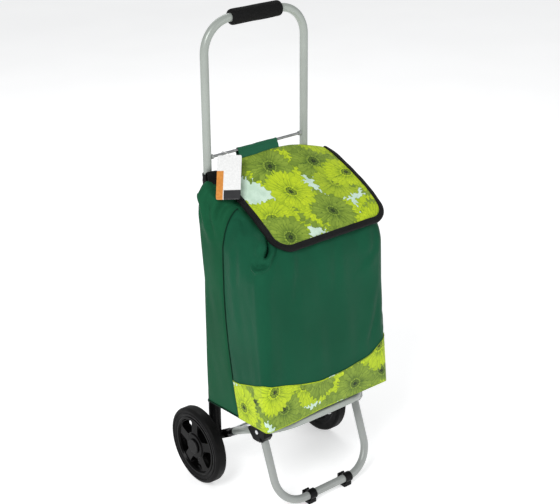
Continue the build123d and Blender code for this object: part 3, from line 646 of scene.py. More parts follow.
def ring(z):
    """The bag's plain outline at height z, before its shoulders: x, y for each column."""
    seam_y = table(z, ((186, -128), (198, -126), (230, -118), (274, -110), (298, -107), (343, -101), (395, -96), (457, -92), (519, -92), (560, -94), (600, -90), (660, -82)))
    yf = -214.0 + (z - 196.0) * 11.0 / 354.0
    xlf = table(z, ((186, -145.0), (198, -144.8), (298, -147.2), (415, -147.0), (500, -146.5), (545, -144.0), (600, -142.0), (700, -140.0)))
    xlr = table(z, ((186, -151.0), (240, -152.5), (420, -153.2), (520, -154.4), (575, -154.5), (608, -154.0), (640, -151.5), (700, -150.0)))
    xr = table(z, ((186, 164.5), (198, 165.0), (295, 166.0), (384, 165.6), (428, 164.8), (543, 166.4), (570, 168.0), (700, 168.0)))
    rfl = table(z, ((186, 7.0), (198, 8.0), (298, 15.0), (415, 22.0), (533, 28.0), (600, 34.0)))
    rfr = table(z, ((186, 6.0), (198, 8.0), (295, 20.0), (384, 26.0), (428, 28.0), (543, 27.0), (600, 30.0)))
    rrl = table(z, ((186, 5.0), (250, 8.0), (380, 12.0), (460, 18.0), (540, 9.0), (600, 7.0), (650, 9.0)))
    yb, rr = -27.0, 7.0
    out = []

    def arc(cx, cy, r, a0, a1, n):
        for k in range(n):
            a = math.radians(a0 + (a1 - a0) * (k + 0.5) / n)
            out.append((cx + r * math.cos(a), cy + r * math.sin(a)))

    def line(a, b, n):
        for k in range(n):
            f = (k + 0.5) / n
            out.append((a[0] + (b[0] - a[0]) * f, a[1] + (b[1] - a[1]) * f))

    n = dict(SEG)
    xseam = xlr + (xlf - xlr) * (seam_y - yb) / (yf - yb)
    arc(xlr + rrl, yb - rrl, rrl, 90, 180, n["rl"])
    line((xlr, yb - rrl), (xseam, seam_y), n["l1"])
    line((xseam, seam_y), (xlf, yf + rfl), n["l2"])
    arc(xlf + rfl, yf + rfl, rfl, 180, 270, n["fl"])
    line((xlf + rfl, yf), (xr - rfr, yf), n["f"])
    arc(xr - rfr, yf + rfr, rfr, 270, 360, n["fr"])
    line((xr, yf + rfr), (xr, seam_y), n["r1"])
    line((xr, seam_y), (xr, yb - rr), n["r2"])
    arc(xr - rr, yb - rr, rr, 0, 90, n["rr"])
    line((xr - rr, yb), (xlr + rrl, yb), n["b"])
    return np.array(out)


RZ0, RZ1, RSTEP = 176.0, 700.0, 4.0
RINGS = np.array([ring(z) for z in np.arange(RZ0, RZ1 + 0.1, RSTEP)])
_v = np.concatenate([np.linspace(0, 0.80, 88, endpoint=False), 0.80 + 0.20 * np.sin(np.linspace(0, math.pi / 2, 44))])
NR = len(_v)


def base_z(x, y):
    """The floor: it rises to the front, and a little more towards the front right corner."""
    tilt = (-27.5 - y) * math.tan(math.radians(1.85))
    return 191.0 + tilt + 4.8 * smooth((x + 95.0) / 95.0) * smooth((-60.0 - y) / 150.0)


def bag_top(x, y):
    corner = smooth((-96.0 - x) / 22.0) * smooth((y + 84.0) / 45.0)
    peak = np.exp(-((x + 142.0) / 16.0) ** 2 - ((y + 34.0) / 17.0) ** 2)
    return flap_top(y) - 8.0 + 7.0 * corner + 8.0 * peak


def shoulders(x, y, h):
    """The gathered top: the sides roll in towards the flap's edge."""
    yy = smooth((-38.0 - y) / 55.0)
    inset_l, depth_l = 17.0 + 28.0 * yy, 26.0 + 40.0 * yy
    t = np.clip(1.0 - h / depth_l, 0, 1)
    p = 1.7
    roll = 1.0 - (1.0 - t ** p) ** (1.0 / p)
    t2 = np.clip(1.0 - h / 46.0, 0, 1)
    roll2 = 1.0 - np.sqrt(np.maximum(0.0, 1.0 - t2 * t2))
    cx, cy = 10.0, -100.0
    nx = np.where(x < cx, cx + (x - cx) * (1 - inset_l / 162.0 * roll), cx + (x - cx) * (1 - 11.0 / 158.0 * roll2))
    ny = np.where(y < cy, cy + (y - cy) * (1 - 26.0 / 104.0 * roll2), cy + (y - cy) * (1 - 4.0 / 73.0 * roll2))
    return nx, ny


def build_bag():
    cols = np.arange(NC)[None, :] * np.ones((NR, 1), int)
    cols = cols.astype(int)
    vv = _v[:, None] * np.ones((1, NC))
    x, y = RINGS[30][:, 0][None, :] * np.ones((NR, 1)), RINGS[30][:, 1][None, :] * np.ones((NR, 1))
    for _ in range(12):
        top, foot = bag_top(x, y), base_z(x, y)
        z = foot + (top - foot) * vv
        q = np.clip((z - RZ0) / RSTEP, 0, len(RINGS) - 1.001)
        i = q.astype(int)
        f = (q - i)[..., None]
        xy = RINGS[i, cols] * (1 - f) + RINGS[i + 1, cols] * f
        nx, ny = shoulders(xy[..., 0], xy[..., 1], top - z)
        x, y = 0.5 * x + 0.5 * nx, 0.5 * y + 0.5 * ny
    return np.stack([x, y, z], axis=-1)


bag = build_bag()


def outward(g):
    """Unit normals of the closed grid, pointing out of the bag."""
    du = np.roll(g, -1, axis=1) - np.roll(g, 1, axis=1)
    dv = np.gradient(g, axis=0)
    n = np.cross(dv, du)
    n /= np.linalg.norm(n, axis=2, keepdims=True) + 1e-9
    c = g.mean(axis=(0, 1))
    if ((g - c) * n).sum() < 0:
        n = -n
    return n


nrm = outward(bag)
X, Y, Z = bag[..., 0].copy(), bag[..., 1].copy(), bag[..., 2].copy()
H = bag_top(X, Y) - Z
FOOT = Z - base_z(X, Y)


def ripples(coord, z, waves, seed):
    r = np.random.default_rng(seed)
    out = np.zeros_like(coord)
    for wl, amp in waves:
        ph, ph2, sl = r.uniform(0, 6.28), r.uniform(0, 6.28), r.uniform(-0.25, 0.25)
        out += amp * np.sin(2 * math.pi * (coord + sl * z) / wl + ph) * (0.6 + 0.4 * np.sin(2 * math.pi * z / (wl * 4.3) + ph2))
    return out


d = np.zeros((NR, NC))
ones = np.ones((NR, 1))


def share(kinds, k=13):
    """1 on these sides of the bag and 0 on the others, with a soft change at the corners."""
    m = np.isin(KIND, kinds).astype(float)
    return np.convolve(np.pad(m, k // 2, mode="wrap"), np.ones(k) / k, mode="valid")[None, :] * ones


front, left, right, back = share(("f", "fl", "fr")), share(("l1", "l2", "rl")), share(("r1", "r2", "rr")), share(("b",))
# the panels belly out a little between their seams
fx = np.clip((X - 8) / 155.0, -1, 1)
d += front * 4.5 * (1 - fx ** 2) * bump1(Z, 400, 200)
d += right * 4.0 * bump1(Y, -120, 60) * bump1(Z, 430, 150)
# slack cloth: long soft folds that start at the gathered top and fade downwards
top_share = np.clip(1 - H / 330.0, 0, 1) ** 1.3
d += front * ripples(X, Z, ((96, 1.8), (61, 1.2), (37, 0.45)), 3) * (0.40 + 0.9 * top_share)
d += (left + right) * ripples(Y, Z, ((88, 1.6), (49, 1.1), (31, 0.45)), 5) * (0.40 + 1.0 * top_share)
d += back * ripples(X, Z, ((120, 0.8), (70, 0.6)), 9) * 0.8


def crease(path, depth, width, lift_left=0.0, lift_right=0.0, reach=None, along=None):
    """A fold down a path of (x, y, z) points near the cloth: a valley, with a soft roll on either side of it."""
    path = np.asarray(path, float)
    flat = bag.reshape(-1, 3)
    path = np.array([flat[np.argmin(((flat - q) ** 2).sum(axis=1))] for q in path])
    best = np.full((NR, NC), 1e9)
    sign = np.zeros((NR, NC))
    tpar = np.zeros((NR, NC))
    total = np.concatenate([[0], np.cumsum(np.linalg.norm(np.diff(path, axis=0), axis=1))])
    for k in range(len(path) - 1):
        a, b = path[k], path[k + 1]
        ab = b - a
        t = np.clip(((bag - a) @ ab) / (ab @ ab + 1e-9), 0, 1)
        q = a + t[..., None] * ab
        dist = np.linalg.norm(bag - q, axis=2)
        better = dist < best
        best = np.where(better, dist, best)
        side = np.einsum("ijk,ijk->ij", np.cross(np.broadcast_to(ab, bag.shape), bag - q), nrm)
        sign = np.where(better, np.sign(side), sign)
        tpar = np.where(better, (total[k] + t * np.linalg.norm(ab)) / (total[-1] + 1e-9), tpar)
    ends = np.interp(tpar, (0, 0.15, 0.7, 1), (0.3, 1, 0.8, 0)) if along is None else np.interp(tpar, along[0], along[1])
    out = -depth * np.exp(-(best / width) ** 2) * ends
    w = reach or width * 2.4
    roll = (1 - np.exp(-(best / (0.6 * w)) ** 2)) * np.exp(-(best / w) ** 2) * 2.2 * ends
    out += np.where(sign < 0, lift_left, lift_right) * roll
    return out


CREASES = [
    # soft pulls from the flap's edge and from the tie at the leg
    dict(path=[(-112, -110, 604), (-124, -128, 590), (-130, -140, 580)], depth=3.0, width=7.0, lift_left=1.5, lift_right=1.5, reach=16.0),
    dict(path=[(-126, -36, 640), (-142, -48, 612), (-150, -60, 585), (-152, -74, 552)], depth=5.0, width=8.0, lift_left=3.5, lift_right=2.0, reach=19.0),
    dict(path=[(-138, -30, 636), (-152, -36, 606), (-154, -42, 575)], depth=3.0, width=5.5, lift_left=1.2, lift_right=2.5, reach=12.0),
    dict(path=[(-112, -70, 628), (-138, -74, 606), (-150, -78, 585)], depth=3.4, width=8.0, lift_left=2.5, lift_right=2.0, reach=18.0),
    dict(path=[(-150, -130, 560), (-149, -134, 520), (-149, -130, 470)], depth=2.0, width=9.0, lift_left=1.2, lift_right=1.2, reach=20.0),
    # light pulls on the front
    dict(path=[(118, -210, 300), (136, -208, 360), (146, -205, 430)], depth=1.6, width=9.0, lift_right=1.2, reach=18.0),
    dict(path=[(150, -196, 330), (158, -190, 380), (160, -186, 430)], depth=2.2, width=6.0, lift_left=1.6, reach=14.0),
    dict(path=[(96, -208, 470), (128, -207, 500), (150, -200, 560)], depth=1.6, width=10.0, lift_left=1.2, reach=20.0),
    dict(path=[(-52, -209, 545), (-64, -209, 490), (-66, -210, 430)], depth=1.8, width=12.0, lift_left=1.2, reach=22.0),
    dict(path=[(40, -206, 560), (34, -208, 500), (30, -210, 440)], depth=1.2, width=12.0, lift_left=1.0, reach=22.0),
]
for c in CREASES:
    d += 1.3 * crease(**c)
# the cheek between the side seam and the tuck
d += 4.0 * np.exp(-(((X + 134) / 24) ** 2 + ((Y + 150) / 30) ** 2 + ((Z - 572) / 30) ** 2))


def along(path, table_):
    """Distance to a path of (x, y, z) points near the cloth, signed to the right when going down it, with
    table_ interpolated along its length, and the direction across it."""
    path = np.asarray(path, float)
    best = np.full((NR, NC), 1e9)
    sign, tpar = np.zeros((NR, NC)), np.zeros((NR, NC))
    across = np.zeros((NR, NC, 3))
    total = np.concatenate([[0], np.cumsum(np.linalg.norm(np.diff(path, axis=0), axis=1))])
    for k in range(len(path) - 1):
        a, b = path[k], path[k + 1]
        ab = b - a
        t = np.clip(((bag - a) @ ab) / (ab @ ab), 0, 1)
        off_ = bag - (a + t[..., None] * ab)
        off_ = off_ - nrm * np.einsum("ijk,ijk->ij", off_, nrm)[..., None]
        dist = np.linalg.norm(off_, axis=2) + 0.15 * np.abs(np.einsum("ijk,ijk->ij", bag - (a + t[..., None] * ab), nrm))
        c_ = np.cross(nrm, np.broadcast_to(ab / np.linalg.norm(ab), bag.shape))
        better = dist < best
        best = np.where(better, dist, best)
        sign = np.where(better, np.sign(np.einsum("ijk,ijk->ij", c_, off_)), sign)
        across = np.where(better[..., None], c_, across)
        tpar = np.where(better, (total[k] + t * np.linalg.norm(ab)) / total[-1], tpar)
    return best * sign, np.interp(tpar, *table_), across


SHIFT = np.zeros((NR, NC, 3))
# a deep tuck hangs from the flap's front left corner. The cheek beside it leans over the slit.
sd, amt, cross_ = along([(-88, -161, 586), (-97, -168, 576), (-102.5, -173, 569.5), (-108.3, -177.9, 563.6), (-114.5, -182, 556.5), (-119.0, -184.3, 549.0), (-121.5, -185.5, 543.0)],
                        ((0, 0.2, 0.72, 0.88, 1), (1, 1, 1, 0.6, 0)))
tight = 3.0 + 2.2 * amt
d += amt * (10.5 * np.exp(-((sd + 12.0) / 10.5) ** 2) - 22.0 * np.exp(-((sd - 1.0) / tight) ** 2))
SHIFT += cross_ * (amt * 5.0 * np.exp(-((sd + 6.0) / 6.0) ** 2))[..., None]
# a rounded band of cloth comes down on its other side and passes under its foot
sd, amt, cross_ = along([(-92, -184, 567), (-103.3, -190.3, 554.3), (-111.5, -193.1, 547.2), (-117.0, -191.1, 540.8), (-122.5, -187.0, 536.0), (-128.0, -182.0, 536.0)],
                        ((0, 0.3, 0.8, 1), (0.7, 1, 0.9, 0)))
d += amt * (5.0 * np.exp(-(sd / 4.8) ** 2) - 3.4 * np.exp(-((sd - 9.5) / 3.2) ** 2))
# and below that a thin roll, bent like a smile
sd, amt, cross_ = along([(-109, -196, 540), (-116.3, -195.9, 534.0), (-125.7, -195.9, 528.0), (-133.9, -191.5, 523.5), (-139.0, -183.3, 522.0), (-140.5, -175.5, 526.0), (-138.2, -168.9, 534.0)],
                        ((0, 0.3, 0.8, 1), (0.0, 1, 1, 0)))
d += amt * (8.0 * np.exp(-(sd / 3.4) ** 2) - 3.4 * np.exp(-((sd + 8.0) / 4.5) ** 2))
# the seams lie in shallow valleys, gathered a little where they climb over the shoulder
colidx = np.arange(NC)[None, :]
i_f0, i_f1 = START["l2"], START["r2"]
d -= 2.2 * np.exp(-((colidx - i_f0) / 2.2) ** 2) * ones
d -= 2.0 * np.exp(-((colidx - i_f1) / 2.2) ** 2) * ones
fade = np.clip(FOOT / 26.0, 0, 1) * np.clip(H / 8.0 + 0.35, 0, 1)
bag = bag + nrm * (d * fade)[..., None] + SHIFT * fade[..., None]
bag[..., 1] = np.minimum(bag[..., 1], -26.4)
nrm = outward(bag)

# lengths along the cloth, for the weave and the print
perim = np.concatenate([np.zeros((NR, 1)), np.cumsum(np.linalg.norm(np.diff(bag, axis=1), axis=2), axis=1)], axis=1)
close_len = perim[:, -1] + np.linalg.norm(bag[:, 0] - bag[:, -1], axis=1)
mid_row = NR // 3
bag_uv = np.zeros((NR, NC, 2))
bag_uv[..., 0] = perim[mid_row][None, :] / 1000
height = np.concatenate([np.zeros((1, NC)), np.cumsum(np.linalg.norm(np.diff(bag, axis=0), axis=2), axis=0)], axis=0)
bag_uv[..., 1] = height / 1000

# the gathered top under the flap: from the top roll in to the drawn mouth
centre = np.array([10.0, -104.0])
mouth = []
ang = np.arctan2((bag[-1, :, 1] - centre[1]) / 0.72, bag[-1, :, 0] - centre[0])
for k in range(1, 15):
    f = k / 14
    rim_x = centre[0] + 96 * np.sign(np.cos(ang)) * np.abs(np.cos(ang)) ** 0.75
    rim_y = centre[1] + 44 * np.sign(np.sin(ang)) * np.abs(np.sin(ang)) ** 0.75
    x = bag[-1, :, 0] * (1 - f) + rim_x * f
    y = bag[-1, :, 1] * (1 - f) + rim_y * f
    pleat = 3.4 * f * np.sin(ang * 21 + 0.6 * np.sin(ang * 5)) + 1.2 * f * np.sin(ang * 47)
    x = x + np.cos(ang) * pleat
    y = y + np.sin(ang) * pleat * 0.8
    edge_drop = (bag_top(bag[-1, :, 0], bag[-1, :, 1]) - flap_top(bag[-1, :, 1])) * (1 - f) - 8.0 * f
    z = flap_top(y) + edge_drop - 1.5 * f - 5.0 * f * f + 1.5 * f * np.cos(ang * 21 + 0.6 * np.sin(ang * 5))
    mouth.append(np.stack([x, y, z], 1))
# a folded hem that drops into the bag
for k in range(1, 4):
    m = mouth[-1].copy()
    m[:, 0] += (m[:, 0] - centre[0]) * 0.015
    m[:, 1] += (m[:, 1] - centre[1]) * 0.015
    m[:, 2] -= 5.5
    mouth.append(m)
mouth = np.array(mouth)

collar_from = NR - 3


def panel(name, c0, c1, mat, thick=1.3):
    idx = list(range(c0, c1)) + [c1 % NC]
    pts = bag[: collar_from + 1][:, idx]
    uv = bag_uv[: collar_from + 1][:, idx].copy()
    if c1 >= NC:
        uv[:, -1, 0] = close_len[mid_row] / 1000
    o = grid(name, to_row(pts), uv, mat)
    o.data.materials.append(M["lining"])
    modifier(o, "SOLIDIFY", thickness=thick / 1000, offset=-1.0, material_offset=1, material_offset_rim=0)
    return o


# the bag's wall in four panels, front, sides and back, each in place of its part from model.glb
soft = []
for name, node, c0, c1, mat, slot_ in (
    ("bag_front_panel", "bag_front", i_f0, i_f1, M["green"], "fabric_green"),
    ("bag_left_panel", "bag_side_left", 0, i_f0, M["side"], "fabric_side"),
    ("bag_right_panel", "bag_side_right", i_f1, START["b"], M["side"], "fabric_side"),
    ("bag_back_panel", "bag_back", START["b"], NC, M["green"], "fabric_green"),
):
    o = panel(name, c0, c1, mat)
    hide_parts(node)
    soft.append(o)

# the collar is one piece with the gathered mouth
collar_pts = np.concatenate([bag[collar_from:], mouth], axis=0)
ch = np.concatenate([np.zeros((1, NC)), np.cumsum(np.linalg.norm(np.diff(collar_pts, axis=0), axis=2), axis=0)], axis=0) / 1000
collar_uv = np.zeros(collar_pts.shape[:2] + (2,))
collar_uv[..., 0] = perim[mid_row][None, :NC] / 1000
collar_uv[..., 1] = bag_uv[collar_from, :, 1][None, :] + ch
collar = grid("bag_collar_gathered", to_row(collar_pts), collar_uv, M["side"], closed=True, close_uv=np.full(len(collar_pts), close_len[mid_row] / 1000))
collar.data.materials.append(M["lining"])
modifier(collar, "SOLIDIFY", thickness=0.0012, offset=-1.0, material_offset=1, material_offset_rim=0)
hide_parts("bag_collar")
soft.append(collar)

# floor, a little slack between the bar and the back
foot_ring = bag[0]
fl = []
c = np.array([foot_ring[:, 0].mean(), foot_ring[:, 1].mean()])
for k in range(0, 13):
    f = 1 - k / 12.5
    r = foot_ring.copy()
    r[:, 0] = c[0] + (foot_ring[:, 0] - c[0]) * f
    r[:, 1] = c[1] + (foot_ring[:, 1] - c[1]) * f
    r[:, 2] = 190.0 + (-27.5 - r[:, 1]) * math.tan(math.radians(1.85)) + (foot_ring[:, 2] - 190.0 - (-27.5 - foot_ring[:, 1]) * math.tan(math.radians(1.85))) * f ** 6
    fl.append(r)
fl = np.array(fl)
fl_uv = np.stack([fl[..., 0], fl[..., 1]], axis=-1) / 1000
floor_piece = grid("bag_floor", to_row(fl), fl_uv, M["piping"], closed=True, close_uv=fl_uv[:, 0, 0], flip=True)
modifier(floor_piece, "SOLIDIFY", thickness=0.0012, offset=-1.0)
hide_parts("bag_bottom")
soft.append(floor_piece)

# printed band round the foot, from seam to seam across the front
band_cols = list(range(i_f0, i_f1 + 1))
bc = bag[:, band_cols]
bx = bc[14, :, 0]
by = bc[14, :, 1]
left_rise = table(by, ((-214, 296), (-206, 294), (-189, 287), (-142, 273), (-97, 267)))
front_rise = table(bx, ((-148, 297), (-135, 292), (-87, 280), (-50, 270), (-13, 264), (25, 264), (65, 267.5), (119, 275), (140, 284), (151, 294), (166, 303)))
right_rise = table(by, ((-212, 303), (-196, 304), (-150, 298), (-100, 294)))
on_left = (bx < -141) & (by > -206)
on_right = (bx > 160) & (by > -205)
band_top = np.where(on_left, left_rise, np.where(on_right, right_rise, front_rise))
band_top = np.convolve(np.pad(band_top, 4, mode="edge"), np.ones(9) / 9, mode="valid")
rows_b = 30
band_pts = np.zeros((rows_b, len(band_cols), 3))
nb = nrm[:, band_cols]
for j in range(len(band_cols)):
    zc = bc[:, j, 2]
    zs = zc[0] - 1.2 + (band_top[j] - zc[0] + 1.2) * np.linspace(0, 1, rows_b)
    for a in range(3):
        band_pts[:, j, a] = np.interp(zs, zc, bc[:, j, a] + nb[:, j, a] * 0.8)
    band_pts[:, j, 2] = zs
bw = np.concatenate([[0], np.cumsum(np.linalg.norm(np.diff(band_pts[14], axis=0), axis=1))]) / 1000
band_uv = np.zeros(band_pts.shape[:2] + (2,))
band_uv[..., 0] = bw[None, :]
band_uv[..., 1] = band_pts[..., 2] / 1000
band = grid("printed_band", to_row(band_pts), band_uv, M["band"])
band.data.materials.append(M["band"])
modifier(band, "SOLIDIFY", thickness=0.0009, offset=0.6)
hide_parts("bag_print_band")
soft.append(band)

# piping in the two side seams and round the floor, and a turned edge along the print
# the dark green of the seam and floor-edge tubes is partly real piping and partly painted shade along the seam folds
for name, col in (("seam_piping_left", i_f0), ("seam_piping_right", i_f1)):
    line = bag[:, col] + nrm[:, col] * 1.1
    pp = tube_along(name, to_row(line[::2]), 0.0009, M["piping"], 8)
    soft.append(pp)
rim_line = bag[0] + np.array([0, 0, 0.6]) + nrm[0] * 0.7
side_run = np.concatenate([rim_line[i_f1:], rim_line[: i_f0 + 1]])
hem = tube_along("floor_piping", to_row(side_run), 0.0015, M["piping"], 8)
soft.append(hem)
fold = tube_along("band_foot_fold", to_row(rim_line[i_f0: i_f1 + 1]), 0.0011, M["band"], 8)
soft.append(fold)
edge_line = band_pts[-1] + nb[rows_b] * 0.2
turned = tube_along("band_turned_edge", to_row(edge_line), 0.0010, M["band"], 8)
soft.append(turned)

# the stiffening board is sewn in the floor, so it goes where the floor goes
board_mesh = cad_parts["base_board"].data.copy()
board_mesh.materials.clear()
board_mesh.materials.append(M["board"])
stiffener = bpy.data.objects.new("floor_stiffener", board_mesh)
bpy.context.scene.collection.objects.link(stiffener)
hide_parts("base_board")
soft.append(stiffener)

for o in soft:
    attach(o, "frame")
    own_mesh(o)

# ------------------------------------------------------------------ flap
FL, FR, FREAR, FLEN, FRAD = -101.0, 178.4, -22.0, 209.6, 40.0
_c = 1 / math.sqrt(1 + SLOPE ** 2)
_s = SLOPE * _c


def flap_point(x, u, lift=0.0):
    """x across, u down the slope from the rear edge, lift off the flap's mean plane. The sleeve on the rod
    pulls the middle of the rear edge up; the rest is crowned along and across."""
    x, u, lift = np.broadcast_arrays(np.asarray(x, float), np.asarray(u, float), np.asarray(lift, float))
    bow = 8.5 * (1 - ((u - FLEN * 0.5) / (FLEN * 0.5)) ** 2)
    fx_ = (x - (FL + FR) / 2) / ((FR - FL) / 2)
    cross = 3.2 * (1 - fx_ ** 2)
    lx = -2.0 * bump1(x, FL, 30) * bump1(u, 60, 60) + 1.6 * bump1(x, 120, 40) * bump1(u, 170, 50)
    rise = 3.2 * smooth((x - 70.0) / 90.0) * bump1(u, 138.0, 52.0)
    edge_in_ = np.minimum(np.minimum(x - FL, FR - x), FLEN - u)
    curl = -2.6 * np.clip(1 - edge_in_ / 15.0, 0, 1) ** 2
    h = bow + cross + lx + rise + curl + lift - 3.0
    pulled = np.interp(x, (-104, -92, -70, -50, 53, 75, 101, 130, 160, 177), (0.0, 0.12, 0.62, 1.0, 1.0, 0.93, 0.72, 0.38, 0.05, -0.08))
    near = 1 - smooth(u / 92.0)
    tent = 22.0 * pulled * near
    turn = np.clip(1 - u / 30.0, 0, 1) ** 2
    xo = x - 6.0 * np.clip((x - 60.0) / 117.0, 0, 1) ** 2 * turn
    y = FREAR - u * _c - h * _s + 1.5 * pulled * near
    z = FLAP_Z0 + SLOPE * FREAR - u * _s + h * _c + tent
    return np.stack([xo, y, z], axis=-1)


def flap_edge(inset):
    """The three bound sides, as (x, u) points, rear left round the front to rear right."""
    r = FRAD - inset
    l, rt, e = FL + inset, FR - inset, FLEN - inset
    pts = [(l, u) for u in np.linspace(0, e - r, 40, endpoint=False)]
    pts += [(l + r - r * math.cos(a), e - r + r * math.sin(a)) for a in np.linspace(0, math.pi / 2, 20, endpoint=False)]
    pts += [(x, e) for x in np.linspace(l + r, rt - r, 36, endpoint=False)]
    pts += [(rt - r + r * math.sin(a), e - r + r * math.cos(a)) for a in np.linspace(0, math.pi / 2, 20, endpoint=False)]
    pts += [(rt, u) for u in np.linspace(e - r, 0, 41)]
    return np.array(pts)


NU, NV = 84, 68
us = (FLEN - 4.0) * np.linspace(0, 1, NV)
panel_pts, panel_uv = np.zeros((NV, NU, 3)), np.zeros((NV, NU, 2))
for i, u in enumerate(us):
    r, e = FRAD - 4.0, FLEN - 4.0
    inn = 0.0 if u <= e - r else r - math.sqrt(max(0.0, r * r - (u - (e - r)) ** 2))
    xs_ = np.linspace(FL + 4.0 + inn, FR - 4.0 - inn, NU)
    edge = np.minimum(np.minimum(xs_ - (FL + inn), (FR - inn) - xs_), FLEN - u)
    pinch = -1.7 * np.exp(-((np.maximum(edge - 9.0, 0)) / 7.0) ** 1.4)
    soft_lump = 0.55 * np.sin(xs_ / 17.0 + 1.3 * math.sin(u / 31.0)) * math.sin(u / 21.0 + 0.7) + 0.5 * np.sin(xs_ / 41.0 + u / 37.0)
    panel_pts[i] = flap_point(xs_, np.full(NU, u), pinch + soft_lump)
    panel_uv[i, :, 0], panel_uv[i, :, 1] = xs_ / 1000, -u / 1000
flap = grid("flap_padded", to_row(panel_pts), panel_uv, M["print"], flip=True)
flap.data.materials.append(M["lining"])
modifier(flap, "SOLIDIFY", thickness=0.0042, offset=-1.0, material_offset=1, material_offset_rim=0)
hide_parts("flap")
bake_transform(flap)

edge_out = flap_edge(0.0)
edge_in = flap_edge(11.5)
prof = []
# bias tape: an oval section, flat on both faces, folded over the edge
for a in np.linspace(0, 2 * math.pi, 20, endpoint=False):
    ca, sa = math.cos(a), math.sin(a)
    prof.append((0.5 + 0.5 * np.sign(ca) * abs(ca) ** 0.8, 3.4 * np.sign(sa) * abs(sa) ** 0.62))
bpts = np.zeros((len(edge_out), 20, 3))
buv = np.zeros((len(edge_out), 20, 2))
run = np.concatenate([[0], np.cumsum(np.linalg.norm(np.diff(edge_out, axis=0), axis=1))]) / 1000
for j, (f, lift) in enumerate(prof):
    q = edge_in * (1 - f) + edge_out * f
    pucker = 0.25 * np.sin(run * 1000 / 6.3 + 2 * np.sin(run * 13))
    bpts[:, j] = flap_point(q[:, 0], q[:, 1], lift - 1.7 + pucker)
    buv[:, j, 0], buv[:, j, 1] = run, j / 20 * 0.028
bind = grid("flap_bias_binding", to_row(bpts), buv, M["tape"], closed=True, close_uv=buv[:, 0, 0])
bm = bmesh.new()
bm.from_mesh(bind.data)
bm.verts.ensure_lookup_table()
n_ = len(edge_out)
bm.faces.new([bm.verts[j] for j in range(20)])
bm.faces.new([bm.verts[(n_ - 1) * 20 + j] for j in range(20)][::-1])
bmesh.ops.recalc_face_normals(bm, faces=bm.faces)
bm.to_mesh(bind.data)
bm.free()
bind.data.polygons.foreach_set("use_smooth", [True] * len(bind.data.polygons))
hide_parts("flap_binding")
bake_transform(bind)

# ------------------------------------------------------------------ cloth sleeve on the rod
r0, r1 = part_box("bag_rod")
RY, RZ = ((r0.y + r1.y) / 2 - AY) * 1000, ((r0.z + r1.z) / 2 - LIFT) * 1000
prof = [(-17.0, 650.0), (-15.6, 657.0), (-13.8, 665.0), (-11.4, 674.0), (-8.4, 682.0), (-6.4, 687.0)]
for a in np.linspace(-28, 205, 17):
    prof.append((RY + 4.1 * math.cos(math.radians(a)), RZ + 4.1 * math.sin(math.radians(a))))
prof += [(-19.2, 686.0), (-20.0, 682.5), (-20.8, 679.5), (-21.6, 677.0)]
prof = np.array(prof)
xs_ = np.linspace(-47, 48, 52)
sl = np.zeros((len(xs_), len(prof), 3))
for i, x in enumerate(xs_):
    w1 = 0.7 * math.sin(x / 9.0) + 0.4 * math.sin(x / 4.1 + 1)
    endf = 1 + 0.08 * math.exp(-((abs(x - 0.5) - 47.5) / 4.0) ** 2)
    py = RY + (prof[:, 0] - RY) * np.where(prof[:, 1] > 684, endf, 1.0)
    pz = RZ + (prof[:, 1] - RZ) * np.where(prof[:, 1] > 684, endf, 1.0)
    lower = np.clip((684 - prof[:, 1]) / 25, 0, 1)
    sl[i, :, 0] = x
    sl[i, :, 1] = py + w1 * 0.5 * lower * (1 - lower) * 4
    sl[i, :, 2] = pz + 0.35 * w1 * (prof[:, 1] > 690)
slen = np.concatenate([[0], np.cumsum(np.linalg.norm(np.diff(prof, axis=0), axis=1))]) / 1000
suv = np.zeros(sl.shape[:2] + (2,))
suv[..., 0], suv[..., 1] = xs_[:, None] / 1000, slen[None, :]
sleeve = grid("rod_cloth_sleeve", to_row(sl), suv, M["sleeve"])
sleeve.data.materials.append(M["lining"])
modifier(sleeve, "SOLIDIFY", thickness=0.0012, offset=-1.0, material_offset=1, material_offset_rim=0)
modifier(sleeve, "SUBSURF", levels=1, render_levels=1)
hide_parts("rod_sleeve")
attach(sleeve, "frame")

# ------------------------------------------------------------------ webbing loops round the legs
LEAN = math.radians(1.15)


def leg_centre(sx, z):
    s = (z - 78.0) / math.cos(LEAN)
    return np.array([sx * 117.25, -s * math.sin(LEAN), z])


